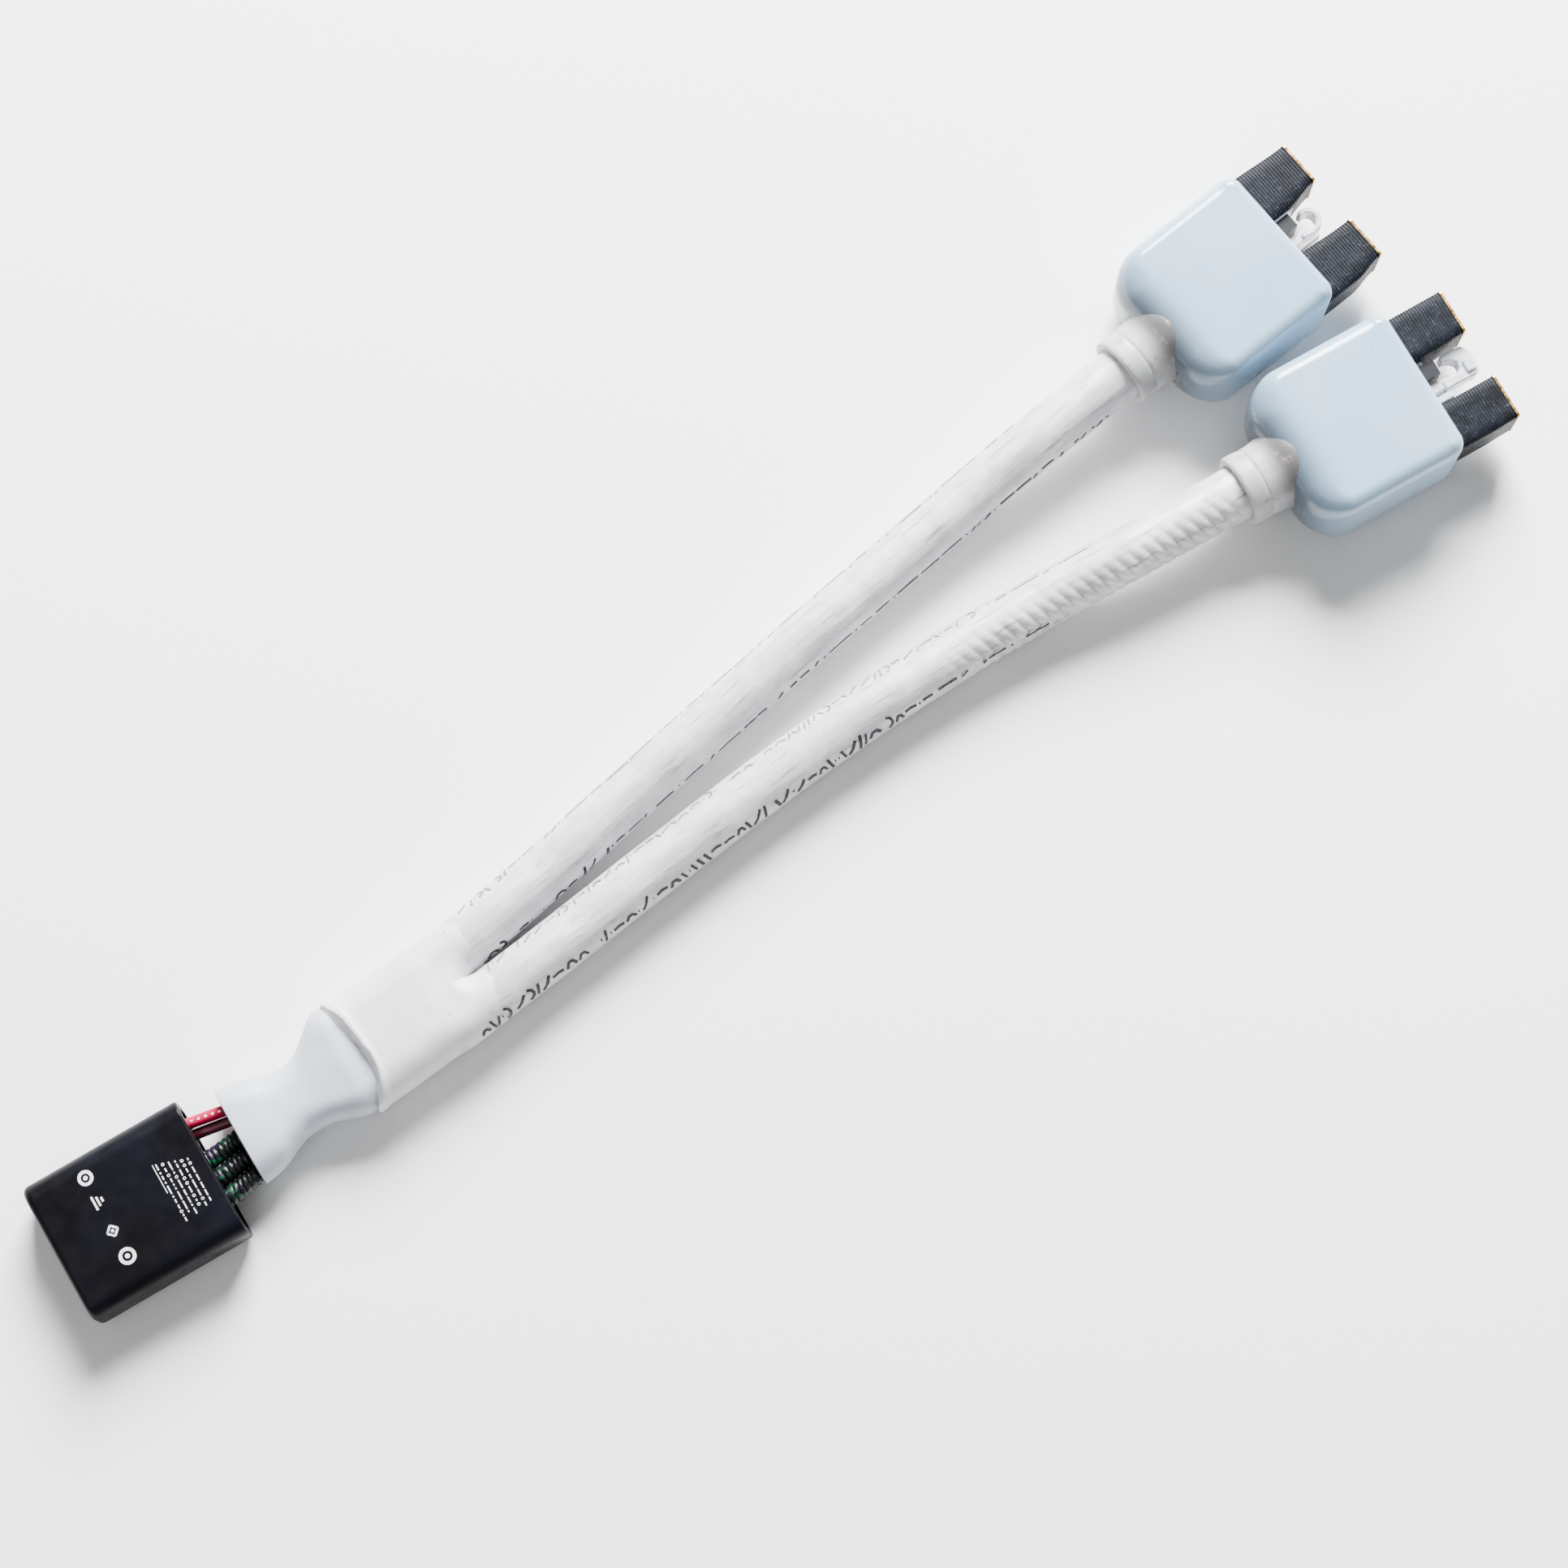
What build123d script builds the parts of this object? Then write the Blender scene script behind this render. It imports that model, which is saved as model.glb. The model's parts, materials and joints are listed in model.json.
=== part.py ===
from build123d import *
import math
import os

# Small power module with six-core tail, Y splice boot and two latching plugs.
# Millimetres.  Origin: centre of the module's underside.  +X runs from the module
# towards the cables, +Z is up, and everything rests on the plane z = 0.

# ---------------------------------------------------------------- driving sizes
CASE_L, CASE_W, CASE_H = 20.8, 18.3, 7.8
CASE_EDGE_R = 2.4
CASE_WALL = 1.0
CAP_T = 1.6
CAP_PLUG = 2.4
GUIDE_FRONT = 9.8
GUIDE_T = 2.0

BOARD_T = 0.8
BOARD_Z = 1.5
BOARD_X0, BOARD_X1 = -7.6, 7.4
BOARD_HALF_W = 7.6

RED_LEAD_R = 0.72
CORE_LEAD_R = 0.6
LEAD_BEND_R = 8.0
LEAD_END_X = 34.8
WRAP_R, WRAP_ROOT_R, WRAP_BORE_R = 1.15, 0.95, 0.72
WRAP_PITCH = 0.66
WRAP_RIBS = 8

SLEEVE_WALL = 0.35
BOOT_X0, BOOT_X1 = 30.8, 48.5
BOOT_WALL = 0.55
BOOT_SCOOP = 2.0
CAVITY_X1 = 42.5
SPLICE_X0, SPLICE_L, SPLICE_R = 33.9, 3.2, 1.15
CORE_BEND_R = 0.6

CABLE_R = 3.5
CORE_R = 0.55

NECK_Z = 6.25
SOCKET = 5.0

BODY_BACK, BODY_FRONT = 5.2, 26.4
BODY_HALF_W, BODY_HALF_H = 10.4, 6.25
BODY_WALL = 1.7
COLLAR_R, COLLAR_BASE_R = 4.55, 5.5
COLLAR_END = 10.0
PRONG_Y, PRONG_W, PRONG_H = 6.3, 6.4, 6.2
PRONG_ROOT, PRONG_TIP = 20.6, 34.6
RIM_T = 0.3
LINER_W, LINER_H, LINER_T = 4.4, 2.2, 0.3
CARRIER_BACK = 16.6
KEY_Y, KEY_W, KEY_H, KEY_REACH = 1.35, 1.9, 3.6, 3.0
ARM_Y, ARM_W, ARM_H = -0.75, 1.3, 1.5
PIN_X, PIN_R = 19.0, 0.55
PIN_CLEAR = 0.05
SLOP = 0.35


class Plug:
    """Place and the sizes that differ between the two plugs."""

    def __init__(self, tag, mouth, angle, prong_base_w, nose_reach, nose_w):
        self.tag = tag
        self.mouth = mouth
        self.angle = angle
        self.prong_base_w = prong_base_w
        self.nose_reach = nose_reach
        self.nose_w = nose_w
        self.place = Location(mouth, (0, 0, angle))

    def at(self, x, y=0.0, z=0.0):
        """Local point, x along the plug's axis, in the module's frame."""
        a = math.radians(self.angle)
        return (
            self.mouth[0] + x * math.cos(a) - y * math.sin(a),
            self.mouth[1] + x * math.sin(a) + y * math.cos(a),
            self.mouth[2] + z,
        )


PLUG_A = Plug("a", (154.8, 29.1, NECK_Z), 8.6, 7.4, 6.3, 3.4)
PLUG_B = Plug("b", (159.3, 8.6, NECK_Z), -1.0, 6.4, 7.9, 4.2)

# Cable centre lines, from the jacket's end inside the boot to its end inside the collar.
UPPER_ROUTE = [
    (42.5, 7.55, 4.10), (48.5, 8.35, 4.05), (60.0, 10.75, 3.55), (75.0, 14.15, 3.52),
    (90.0, 17.35, 3.52), (105.0, 20.40, 3.52), (119.0, 23.15, 3.54), (131.0, 25.40, 4.10),
    PLUG_A.at(-11.5, 0, -0.30), PLUG_A.at(SOCKET),
]
LOWER_ROUTE = [
    (42.5, 0.40, 4.10), (48.5, 1.15, 4.05), (60.0, 2.80, 3.55), (75.0, 5.05, 3.52),
    (90.0, 7.10, 3.52), (105.0, 8.65, 3.52), (120.0, 9.45, 3.54), (134.0, 9.45, 4.10),
    PLUG_B.at(-12.5, 0, -0.35), PLUG_B.at(SOCKET),
]

# Tail sleeve outline: x, centre y, half width, half height, centre z
TAIL = [
    (15.0, 1.55, 6.58, 3.40, 3.80),
    (17.5, 1.75, 6.22, 3.30, 3.80),
    (21.0, 2.10, 4.60, 2.90, 3.75),
    (23.2, 2.15, 4.35, 2.85, 3.75),
    (25.4, 2.40, 4.80, 2.85, 3.80),
    (27.4, 2.95, 5.90, 2.95, 3.95),
    (29.2, 3.30, 6.85, 3.10, 4.05),
    (30.6, 3.40, 6.65, 3.10, 4.10),
    (33.6, 3.50, 6.50, 3.00, 4.10),
]
TAIL_CORNER = 0.8

# Boot outline: x, centre y, half width, half height, corner radius
BOOT = [
    (BOOT_X0, 3.30, 7.30, 4.10, 3.4),
    (39.6, 3.95, 7.25, 4.10, 3.7),
    (BOOT_X1, 4.75, 7.55, 4.10, 3.9),
]

# Leads: name, radius, y and z at the case, at the tail mouth, at the waist, at the splice
LEADS = [
    ("red_lead_a", RED_LEAD_R, (6.30, 4.45), (5.15, 4.45), (4.90, 4.50), (7.40, 5.40)),
    ("red_lead_b", RED_LEAD_R, (4.95, 3.50), (3.90, 3.50), (3.45, 2.95), (5.00, 2.75)),
    ("black_lead_a", CORE_LEAD_R, (1.20, 3.90), (1.75, 3.90), (2.05, 4.55), (4.20, 5.40)),
    ("black_lead_b", CORE_LEAD_R, (-1.35, 3.90), (-0.62, 3.90), (0.80, 3.10), (1.20, 2.75)),
    ("green_lead", CORE_LEAD_R, (-3.90, 3.90), (-2.96, 3.90), (-0.55, 4.20), (0.40, 5.40)),
]
LEAD_X = (6.2, 9.8, 16.4, 23.0, 32.6, LEAD_END_X)

os.makedirs("parts", exist_ok=True)


# ---------------------------------------------------------------- helpers
def save(name, *shapes):
    """Write one sub-part; several separate solids go in one file."""
    solids = [s for shape in shapes for s in shape.solids()]
    export_step(solids[0] if len(solids) == 1 else Compound(children=solids),
                f"parts/{name}.step")


def block(x0, x1, y0, y1, z0, z1):
    """Box between two corners."""
    return Pos((x0 + x1) / 2, (y0 + y1) / 2, (z0 + z1) / 2) * Box(x1 - x0, y1 - y0, z1 - z0)


def rod(x0, x1, y, z, radius):
    """Cylinder along X."""
    return Pos((x0 + x1) / 2, y, z) * Rot(0, 90, 0) * Cylinder(radius, x1 - x0)


def ring_section(x, y, z, half_w, half_h, corner):
    """Rounded rectangle across X."""
    plane = Plane(origin=(x, y, z), x_dir=(0, 1, 0), z_dir=(1, 0, 0))
    return plane * RectangleRounded(2 * half_w, 2 * half_h, corner)


def turns(points):
    """Turn in degrees at each inner point of a route."""
    v = [Vector(*b) - Vector(*a) for a, b in zip(points, points[1:])]
    return [a.get_angle(b) for a, b in zip(v, v[1:])]


def swept(points, radius, radii):
    """Round tube along straight runs joined by tangent arcs, with its centre line."""
    line = FilletPolyline(*points, radius=radii)
    start = Plane(origin=points[0], z_dir=Vector(*points[1]) - Vector(*points[0]))
    return sweep(start * Circle(radius), path=line), line


# ---------------------------------------------------------------- module
def case_section(x, inset=0.0):
    return ring_section(x, 0, CASE_H / 2, CASE_W / 2 - inset, CASE_H / 2 - inset,
                        CASE_EDGE_R - inset)


def make_case():
    x0, x1 = -CASE_L / 2, CASE_L / 2
    sleeve = extrude(case_section(x0 + CAP_T), CASE_L - CAP_T)
    sleeve -= extrude(case_section(x0 + CAP_T, CASE_WALL), CASE_L - CAP_T)
    rim = sleeve.faces().sort_by(Axis.X)[-1]
    sleeve = fillet(rim.outer_wire().edges(), 0.3)
    save("case_sleeve", sleeve)

    flange = extrude(case_section(x0), CAP_T)
    flange = fillet(flange.faces().sort_by(Axis.X)[0].edges(), 0.9)
    insert = extrude(case_section(x0 + CAP_T, CASE_WALL), CAP_PLUG)
    inner_x0 = x0 + CAP_T
    insert -= extrude(case_section(inner_x0, 2 * CASE_WALL), CAP_PLUG)
    ledge = block(inner_x0, inner_x0 + CAP_PLUG, -5, 5, CASE_WALL, BOARD_Z)
    room = block(BOARD_X0, inner_x0 + CAP_PLUG, -BOARD_HALF_W, BOARD_HALF_W,
                 BOARD_Z, BOARD_Z + BOARD_T)
    save("case_end_cap", flange + (insert + ledge - room))

    guide = extrude(case_section(GUIDE_FRONT - GUIDE_T, CASE_WALL), GUIDE_T)
    guide = fillet(guide.faces().sort_by(Axis.X)[-1].edges(), 0.25)
    for _, radius, (y, z), *_ in LEADS:
        guide -= rod(GUIDE_FRONT - GUIDE_T - 1, GUIDE_FRONT + 1, y, z, radius + 0.03)
    save("lead_guide", guide)


def make_board():
    top = BOARD_Z + BOARD_T
    board = block(BOARD_X0, BOARD_X1, -BOARD_HALF_W, BOARD_HALF_W, BOARD_Z, top)
    save("circuit_board", fillet(board.edges().filter_by(Axis.Z), 0.6))
    lead_x = LEAD_X[0]
    pads = [block(lead_x, lead_x + 1.0, y - 0.5, y + 0.5, top, z - radius)
            for _, radius, (y, z), *_ in LEADS]
    save("solder_pads", *pads)

    save("power_transistors",
         *[block(2.8, 4.8, y - 0.9, y + 0.9, top, top + 1.0) for y in (-6.2, -3.7, 3.7, 6.2)])
    pad_z = top + 1.0
    save("thermal_pad", block(2.7, 4.9, -7.3, 7.3, pad_z, pad_z + 0.4))
    fins = block(2.6, 5.0, -7.4, 7.4, pad_z + 0.4, pad_z + 1.2)
    fins += [block(x, x + 0.4, -7.4, 7.4, pad_z + 1.2, pad_z + 2.6) for x in (2.6, 3.6, 4.6)]
    save("heat_spreader", fins)
    save("controller_chip", block(-7.2, -5.6, 3.4, 6.2, top, top + 0.9))
    save("rectifier_diodes",
         *[block(-7.3, -5.5, y - 0.7, y + 0.7, top, top + 1.1) for y in (-6.2, -3.8)])
    save("output_capacitor", Pos(-6.5, 0.5, top) * Cylinder(
        0.95, 3.4, align=(Align.CENTER, Align.CENTER, Align.MIN)))
    save("input_capacitors",
         *[block(x, x + 1.5, 5.9, 7.1, top, top + 1.1) for x in (-4.2, -2.1, 0.0)])
    coil = Pos(-3.2, -6.0, top) * Cylinder(
        1.35, 2.2, align=(Align.CENTER, Align.CENTER, Align.MIN))
    save("output_inductor", coil)
    save("fuse", block(-0.6, 1.2, -6.6, -5.6, top, top + 0.8))
    save("chip_resistors",
         *[block(x, x + 1.0, 4.75, 5.3, top, top + 0.4) for x in (-4.6, -3.1, -1.6, -0.1)])


def make_transformer():
    x, z0 = -1.4, BOARD_Z + BOARD_T
    leg, post, window, depth = 1.0, 2.0, 1.5, 5.0
    half = 2.0
    plate = 0.8
    total = 2 * leg + 2 * window + post
    core = block(x - total / 2, x + total / 2, -depth / 2, depth / 2, z0, z0 + half)
    for side in (-1, 1):
        inner = x + side * post / 2
        outer = inner + side * window
        core -= block(min(inner, outer), max(inner, outer), -depth, depth, z0 + plate, z0 + half)
    save("core_lower", core)
    save("core_upper", mirror(core, Plane.XY.offset(z0 + half)))

    gap, wall = 0.08, 0.3
    low, high = z0 + plate + gap, z0 + 2 * half - plate - gap
    post_x, post_y = post / 2 + gap, depth / 2 + gap
    flange_x, flange_y = post / 2 + window - gap, depth / 2 + window - gap
    tube = block(x - post_x - wall, x + post_x + wall, -post_y - wall, post_y + wall, low, high)
    ends = [block(x - flange_x, x + flange_x, -flange_y, flange_y, z, z + 0.25)
            for z in (low, high - 0.25)]
    bobbin = tube + ends - block(x - post_x, x + post_x, -post_y, post_y, low - 1, high + 1)
    save("bobbin", bobbin)
    middle = (low + high) / 2
    for name, z_low, z_high in (("primary_winding", low + 0.27, middle - 0.03),
                                ("secondary_winding", middle + 0.03, high - 0.27)):
        outer = block(x - flange_x + 0.15, x + flange_x - 0.15,
                      -flange_y + 0.15, flange_y - 0.15, z_low, z_high)
        outer = fillet(outer.edges().filter_by(Axis.Z), 0.6)
        hole = block(x - post_x - wall, x + post_x + wall,
                     -post_y - wall, post_y + wall, z_low - 1, z_high + 1)
        save(name, outer - hole)


# ---------------------------------------------------------------- leads, tail and boot
def make_leads():
    for name, radius, start, mouth, waist, splice in LEADS:
        sides = (start, start, mouth, waist, splice, splice)
        points = [(x, y, z) for x, (y, z) in zip(LEAD_X, sides)]
        solid, _ = swept(points, radius, LEAD_BEND_R)
        save(name, solid)


def make_wraps():
    """Ribbed sleeves that hold the last three leads between the case and the tail."""
    for letter, (_, _, start, mouth, *_) in zip("abc", LEADS[2:]):
        a = Vector(LEAD_X[1], *start)
        axis = (Vector(LEAD_X[2], *mouth) - a).normalized()
        outline = [(0, WRAP_BORE_R)]
        for i in range(WRAP_RIBS):
            x = i * WRAP_PITCH
            outline += [(x, WRAP_ROOT_R), (x + 0.12, WRAP_R), (x + 0.45, WRAP_R),
                        (x + 0.57, WRAP_ROOT_R)]
        outline += [(WRAP_RIBS * WRAP_PITCH, WRAP_ROOT_R), (WRAP_RIBS * WRAP_PITCH, WRAP_BORE_R)]
        profile = make_face(Polyline(*outline, close=True))
        tube = revolve(profile, Axis.X)
        place = Plane(origin=a + axis * 0.3, x_dir=axis, z_dir=(0, 0, 1))
        save(f"spiral_wrap_{letter}", place.location * tube)


def make_tail():
    def tube(inset):
        return loft([ring_section(x, y, z, w - inset, h - inset, TAIL_CORNER * (h - inset))
                     for x, y, w, h, z in TAIL])

    save("tail_sleeve", tube(0) - tube(SLEEVE_WALL))


def make_boot(cables):
    z = BOOT[0][3]
    outer = loft([ring_section(x, y, z, w, h, r) for x, y, w, h, r in BOOT])
    end = BOOT[1]
    hollow_end = (CAVITY_X1, end[1] + 0.2) + end[2:]
    hollow = loft([ring_section(x, y, z, w - BOOT_WALL, h - BOOT_WALL, r - BOOT_WALL)
                   for x, y, w, h, r in (BOOT[0], hollow_end)])
    chord = BOOT[0][2]
    scoop_r = (chord ** 2 + BOOT_SCOOP ** 2) / (2 * BOOT_SCOOP)
    scoop = Pos(BOOT_X0 + BOOT_SCOOP - scoop_r, BOOT[0][1], z) * Cylinder(scoop_r, 20)
    boot = outer - hollow - scoop
    for cable in cables:
        boot -= cable
    save("y_boot", boot)


def make_splices():
    """Crimped barrels in the boot, and the stripped cable cores that reach them."""
    crimps = []
    for _, radius, *stations in LEADS:
        y, z = stations[-1]
        barrel = rod(SPLICE_X0, SPLICE_X0 + SPLICE_L, y, z, SPLICE_R)
        barrel -= rod(SPLICE_X0 - 1, LEAD_END_X, y, z, radius)
        crimps.append(barrel)
    splice_end = SPLICE_X0 + SPLICE_L + 0.02
    cores_end = CAVITY_X1 - 0.5
    red_a, red_b, black_a, black_b, green = [stations[-1] for _, _, *stations in LEADS]
    upper_y, lower_y = UPPER_ROUTE[0][1], LOWER_ROUTE[0][1]
    upper = [(red_a, (upper_y + 0.9, 4.9)), (black_a, (upper_y - 1.1, 5.0)),
             ((green[0] + 0.56, green[1]), (upper_y - 0.1, 2.5))]
    lower = [(red_b, (lower_y + 1.0, 3.0)), (black_b, (lower_y - 1.0, 3.0)),
             ((green[0] - 0.56, green[1]), (lower_y, 5.2))]
    for name, cores in (("upper_cores", upper), ("lower_cores", lower)):
        save(name, *[swept([(splice_end, *a), (splice_end + CORE_BEND_R, *a),
                            (cores_end - CORE_BEND_R, *b), (cores_end, *b)],
                           CORE_R, CORE_BEND_R)[0] for a, b in cores])
    save("splice_crimps", *crimps)


def make_cables():
    tubes = []
    for name, route in (("upper_cable", UPPER_ROUTE), ("lower_cable", LOWER_ROUTE)):
        runs = [(Vector(*b) - Vector(*a)).length for a, b in zip(route, route[1:])]
        radii = [0.45 * min(pair) / math.tan(math.radians(t) / 2)
                 for pair, t in zip(zip(runs, runs[1:]), turns(route))]
        tube, line = swept(route, CABLE_R, radii)
        print(name, "length", round(line.length, 2), "bend radii", [round(r) for r in radii],
              "volume / (section x length)",
              round(tube.volume / (math.pi * CABLE_R ** 2 * line.length), 4))
        save(name, tube)
        tubes.append(tube)
    return tubes


# ---------------------------------------------------------------- plugs
def collar_solid():
    """Strain relief collar, flaring into the plug body."""
    with BuildLine() as line:
        Polyline((0, 0), (0, COLLAR_R - 0.45))
        RadiusArc((0, COLLAR_R - 0.45), (0.45, COLLAR_R), 0.45)
        Line((0.45, COLLAR_R), (5.2, COLLAR_R + 0.12))
        Spline((5.2, COLLAR_R + 0.12), (7.2, COLLAR_R + 0.4), (8.6, COLLAR_BASE_R),
               tangents=((1, 0.03), (1, 0.9)))
        Polyline((8.6, COLLAR_BASE_R), (COLLAR_END, COLLAR_BASE_R), (COLLAR_END, 0), (0, 0))
    return revolve(make_face(line.line), Axis.X)


def body_solid():
    """Moulded shell, strongly rounded where the collar enters."""
    length = BODY_FRONT - BODY_BACK
    middle = (BODY_FRONT + BODY_BACK) / 2
    shell = Pos(middle, 0, 0) * Box(length, 2 * BODY_HALF_W, 2 * BODY_HALF_H)
    corners = shell.edges().filter_by(Axis.Z).group_by(Axis.X)
    shell = fillet(corners[0], 6.0)
    corners = shell.edges().filter_by(Axis.Z).group_by(Axis.X)
    shell = fillet(corners[-1], 2.2)
    top = shell.faces().sort_by(Axis.Z)[-1].outer_wire().edges()
    bottom = shell.faces().sort_by(Axis.Z)[0].outer_wire().edges()
    return fillet(top + bottom, 2.1)


def prong_outline(x, side, width, height=PRONG_H):
    return ring_section(x, side * PRONG_Y, 0, width / 2, height / 2, 0.45)


def prong_solid(plug, side):
    root = extrude(prong_outline(PRONG_ROOT, side, plug.prong_base_w), BODY_FRONT - PRONG_ROOT)
    nose = loft([prong_outline(BODY_FRONT, side, plug.prong_base_w),
                 prong_outline(PRONG_TIP - RIM_T, side, PRONG_W - 0.3)])
    return root + nose


def liner(side, x0, x1, grow=0.0):
    return block(x0, x1, side * PRONG_Y - LINER_W / 2 + grow, side * PRONG_Y + LINER_W / 2 - grow,
                 -LINER_H / 2 + grow, LINER_H / 2 - grow)


def contact_solid(side):
    """Stamped contact: slot liner, folded rim at the tip, tail and crimp barrel."""
    y = side * PRONG_Y
    back = CARRIER_BACK + 0.4
    tube = liner(side, back, PRONG_TIP)
    tube += extrude(prong_outline(PRONG_TIP - RIM_T, side, PRONG_W - 0.2, PRONG_H + 0.1), RIM_T)
    tube -= liner(side, back + LINER_T, PRONG_TIP + 1, LINER_T)
    tail = block(14.6, back + LINER_T, y - 0.7, y + 0.7, -0.3, 0.3)
    barrel = rod(12.6, 15.0, y, 0, 0.95) - rod(12.0, 14.4, y, 0, CORE_R)
    return tube + tail + barrel


def lever_solid(plug):
    """Latch lever: pivot boss, arm, and a hooked nose between the prongs."""
    tip = BODY_FRONT + plug.nose_reach
    bar_x = tip - 2.0
    arm = block(PIN_X, bar_x + 0.6, ARM_Y - ARM_W / 2, ARM_Y + ARM_W / 2, -ARM_H / 2, ARM_H / 2)
    boss = Pos(PIN_X, ARM_Y, 0) * Rot(90, 0, 0) * Cylinder(1.3, ARM_W)
    low, high = ARM_Y - ARM_W / 2 - 0.3, ARM_Y - ARM_W / 2 - 0.3 + plug.nose_w
    head = block(bar_x, tip, low, high, -ARM_H / 2 - 0.3, ARM_H / 2 + 0.3)
    head = fillet(head.edges().filter_by(Axis.Z).group_by(Axis.X)[-1], 0.9)
    hook = block(bar_x - 0.6, bar_x + 0.3, high - 0.9, high, -ARM_H / 2, ARM_H / 2)
    lever = arm + boss + head + hook
    return lever - Pos(PIN_X, ARM_Y, 0) * Rot(90, 0, 0) * Cylinder(PIN_R + PIN_CLEAR, 5)


def make_plug(plug, cable):
    tag, place = plug.tag, plug.place
    front_wall = BODY_FRONT - BODY_WALL
    collar = collar_solid()
    prongs = {side: prong_solid(plug, side) for side in (1, -1)}
    key = block(PRONG_ROOT, BODY_FRONT + KEY_REACH, KEY_Y - KEY_W / 2, KEY_Y + KEY_W / 2,
                -KEY_H / 2, KEY_H / 2)
    lever_room = block(PIN_X - 1.9, BODY_FRONT + 1, ARM_Y - ARM_W / 2 - SLOP,
                       ARM_Y + ARM_W / 2 + SLOP, -2.6, 1.6)

    body = body_solid() - collar
    body -= block(COLLAR_END, front_wall, -8.6, 8.6, -4.4, 4.4)
    carrier = block(CARRIER_BACK, front_wall, -8.6, 8.6, -4.4, 4.4)
    for side in (1, -1):
        body -= prongs[side]
        carrier -= prongs[side]
        carrier -= liner(side, CARRIER_BACK - 1, PRONG_ROOT)
    body = body - key - lever_room
    carrier = carrier - key - lever_room
    carrier -= block(CARRIER_BACK - 1, PIN_X, ARM_Y - 1, ARM_Y + 1, -2.6, 1.6)

    pin = Pos(PIN_X, ARM_Y, 0) * Rot(90, 0, 0) * Cylinder(PIN_R, ARM_W + 2 * SLOP + 1.2)
    carrier -= pin
    spring = block(CARRIER_BACK + 2.0, PIN_X + 4.0, ARM_Y - 0.4, ARM_Y + 0.4, -2.6, -2.35)
    spring += block(PIN_X + 3.7, PIN_X + 4.0, ARM_Y - 0.4, ARM_Y + 0.4, -2.6, -0.85)

    bore = rod(SOCKET, COLLAR_END + 1, 0, 0, 2.9)
    collar = place * (collar - bore) - cable
    core_ends = [((1.2, 0.6), (1.8, 0.6), 10.2, 12.0, (PRONG_Y, 0), 14.2),
                 ((-1.2, 0.6), (-1.8, 0.6), 10.2, 12.0, (-PRONG_Y, 0), 14.2),
                 ((0, -1.3), (0, -1.2), 8.0, 12.0, (KEY_Y, 0), CARRIER_BACK)]
    cores = [swept([(SOCKET + 0.1, *a), (x1, *b), (x2, *c), (x3, *c)], CORE_R, CORE_BEND_R)[0]
             for a, b, x1, x2, c, x3 in core_ends]
    pin_hole = rod(CARRIER_BACK, BODY_FRONT + KEY_REACH + 1, KEY_Y, 0, 0.4)
    key_pin = rod(CARRIER_BACK, BODY_FRONT + KEY_REACH - 0.6, KEY_Y, 0, 0.4)

    save(f"plug_body_{tag}", place * body)
    save(f"cable_collar_{tag}", collar)
    save(f"contact_carrier_{tag}", place * (carrier - key_pin))
    for side, name in ((1, "left_prong"), (-1, "right_prong")):
        slot = liner(side, PRONG_ROOT - 1, PRONG_TIP + 1)
        save(f"{name}_{tag}", place * (prongs[side] - slot))
    save(f"power_contacts_{tag}", *[place * contact_solid(side) for side in (1, -1)])
    save(f"key_block_{tag}", place * (key - pin_hole))
    save(f"key_pin_{tag}", place * key_pin)
    save(f"plug_cores_{tag}", *[place * core for core in cores])
    save(f"latch_lever_{tag}", place * lever_solid(plug))
    save(f"latch_pin_{tag}", place * pin)
    save(f"latch_spring_{tag}", place * spring)


make_case()
make_board()
make_transformer()
make_leads()
make_wraps()
make_tail()
upper_cable, lower_cable = make_cables()
make_boot((upper_cable, lower_cable))
make_splices()
make_plug(PLUG_A, upper_cable)
make_plug(PLUG_B, lower_cable)
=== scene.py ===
import json
import math
import random

import bmesh
import bpy
from mathutils import Matrix, Vector, noise


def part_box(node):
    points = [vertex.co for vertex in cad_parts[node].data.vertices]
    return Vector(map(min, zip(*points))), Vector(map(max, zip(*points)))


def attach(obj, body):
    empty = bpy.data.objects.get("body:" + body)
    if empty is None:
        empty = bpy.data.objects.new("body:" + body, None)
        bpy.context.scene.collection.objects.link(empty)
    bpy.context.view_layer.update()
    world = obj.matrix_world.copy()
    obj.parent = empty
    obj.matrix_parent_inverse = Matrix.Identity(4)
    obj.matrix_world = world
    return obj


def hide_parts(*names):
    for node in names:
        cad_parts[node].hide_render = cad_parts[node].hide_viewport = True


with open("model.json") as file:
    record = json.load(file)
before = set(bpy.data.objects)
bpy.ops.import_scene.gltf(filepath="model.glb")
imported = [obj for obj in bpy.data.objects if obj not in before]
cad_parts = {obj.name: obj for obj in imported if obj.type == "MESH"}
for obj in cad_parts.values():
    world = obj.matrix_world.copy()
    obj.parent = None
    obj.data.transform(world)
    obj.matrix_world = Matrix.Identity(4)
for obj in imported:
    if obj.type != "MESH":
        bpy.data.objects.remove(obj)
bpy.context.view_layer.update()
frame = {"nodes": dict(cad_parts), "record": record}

# Shapes are worked out in millimetres in the part's frame and written in metres.
MM = 0.001
NODES = frame["nodes"]
MOUNTS = {m["name"]: m for m in frame["record"]["mounts"]}


def node_box(name):
    """Lowest and highest corner of a CAD node, in millimetres."""
    low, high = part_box(name)
    return low / MM, high / MM


# Driving sizes shared with the CAD part
CABLE_R = 3.5
PLUG_LENGTH = 26.4        # collar mouth to plug face
BODY_BACK = 5.2
BODY_HALF_W, BODY_HALF_H = 10.4, 6.25
COLLAR_R, COLLAR_BASE_R, COLLAR_END = 4.55, 5.5, 10.0
BOOT_X0 = 30.8            # lip of the boot


# ---- camera
CAMERA_AT = (0.0399, -0.0834, 0.4673)
CAMERA_LOOKS_AT = (0.0932, 0.0066, 0.0)
LENS_MM, SENSOR_MM = 89.5, 36.0


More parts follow.
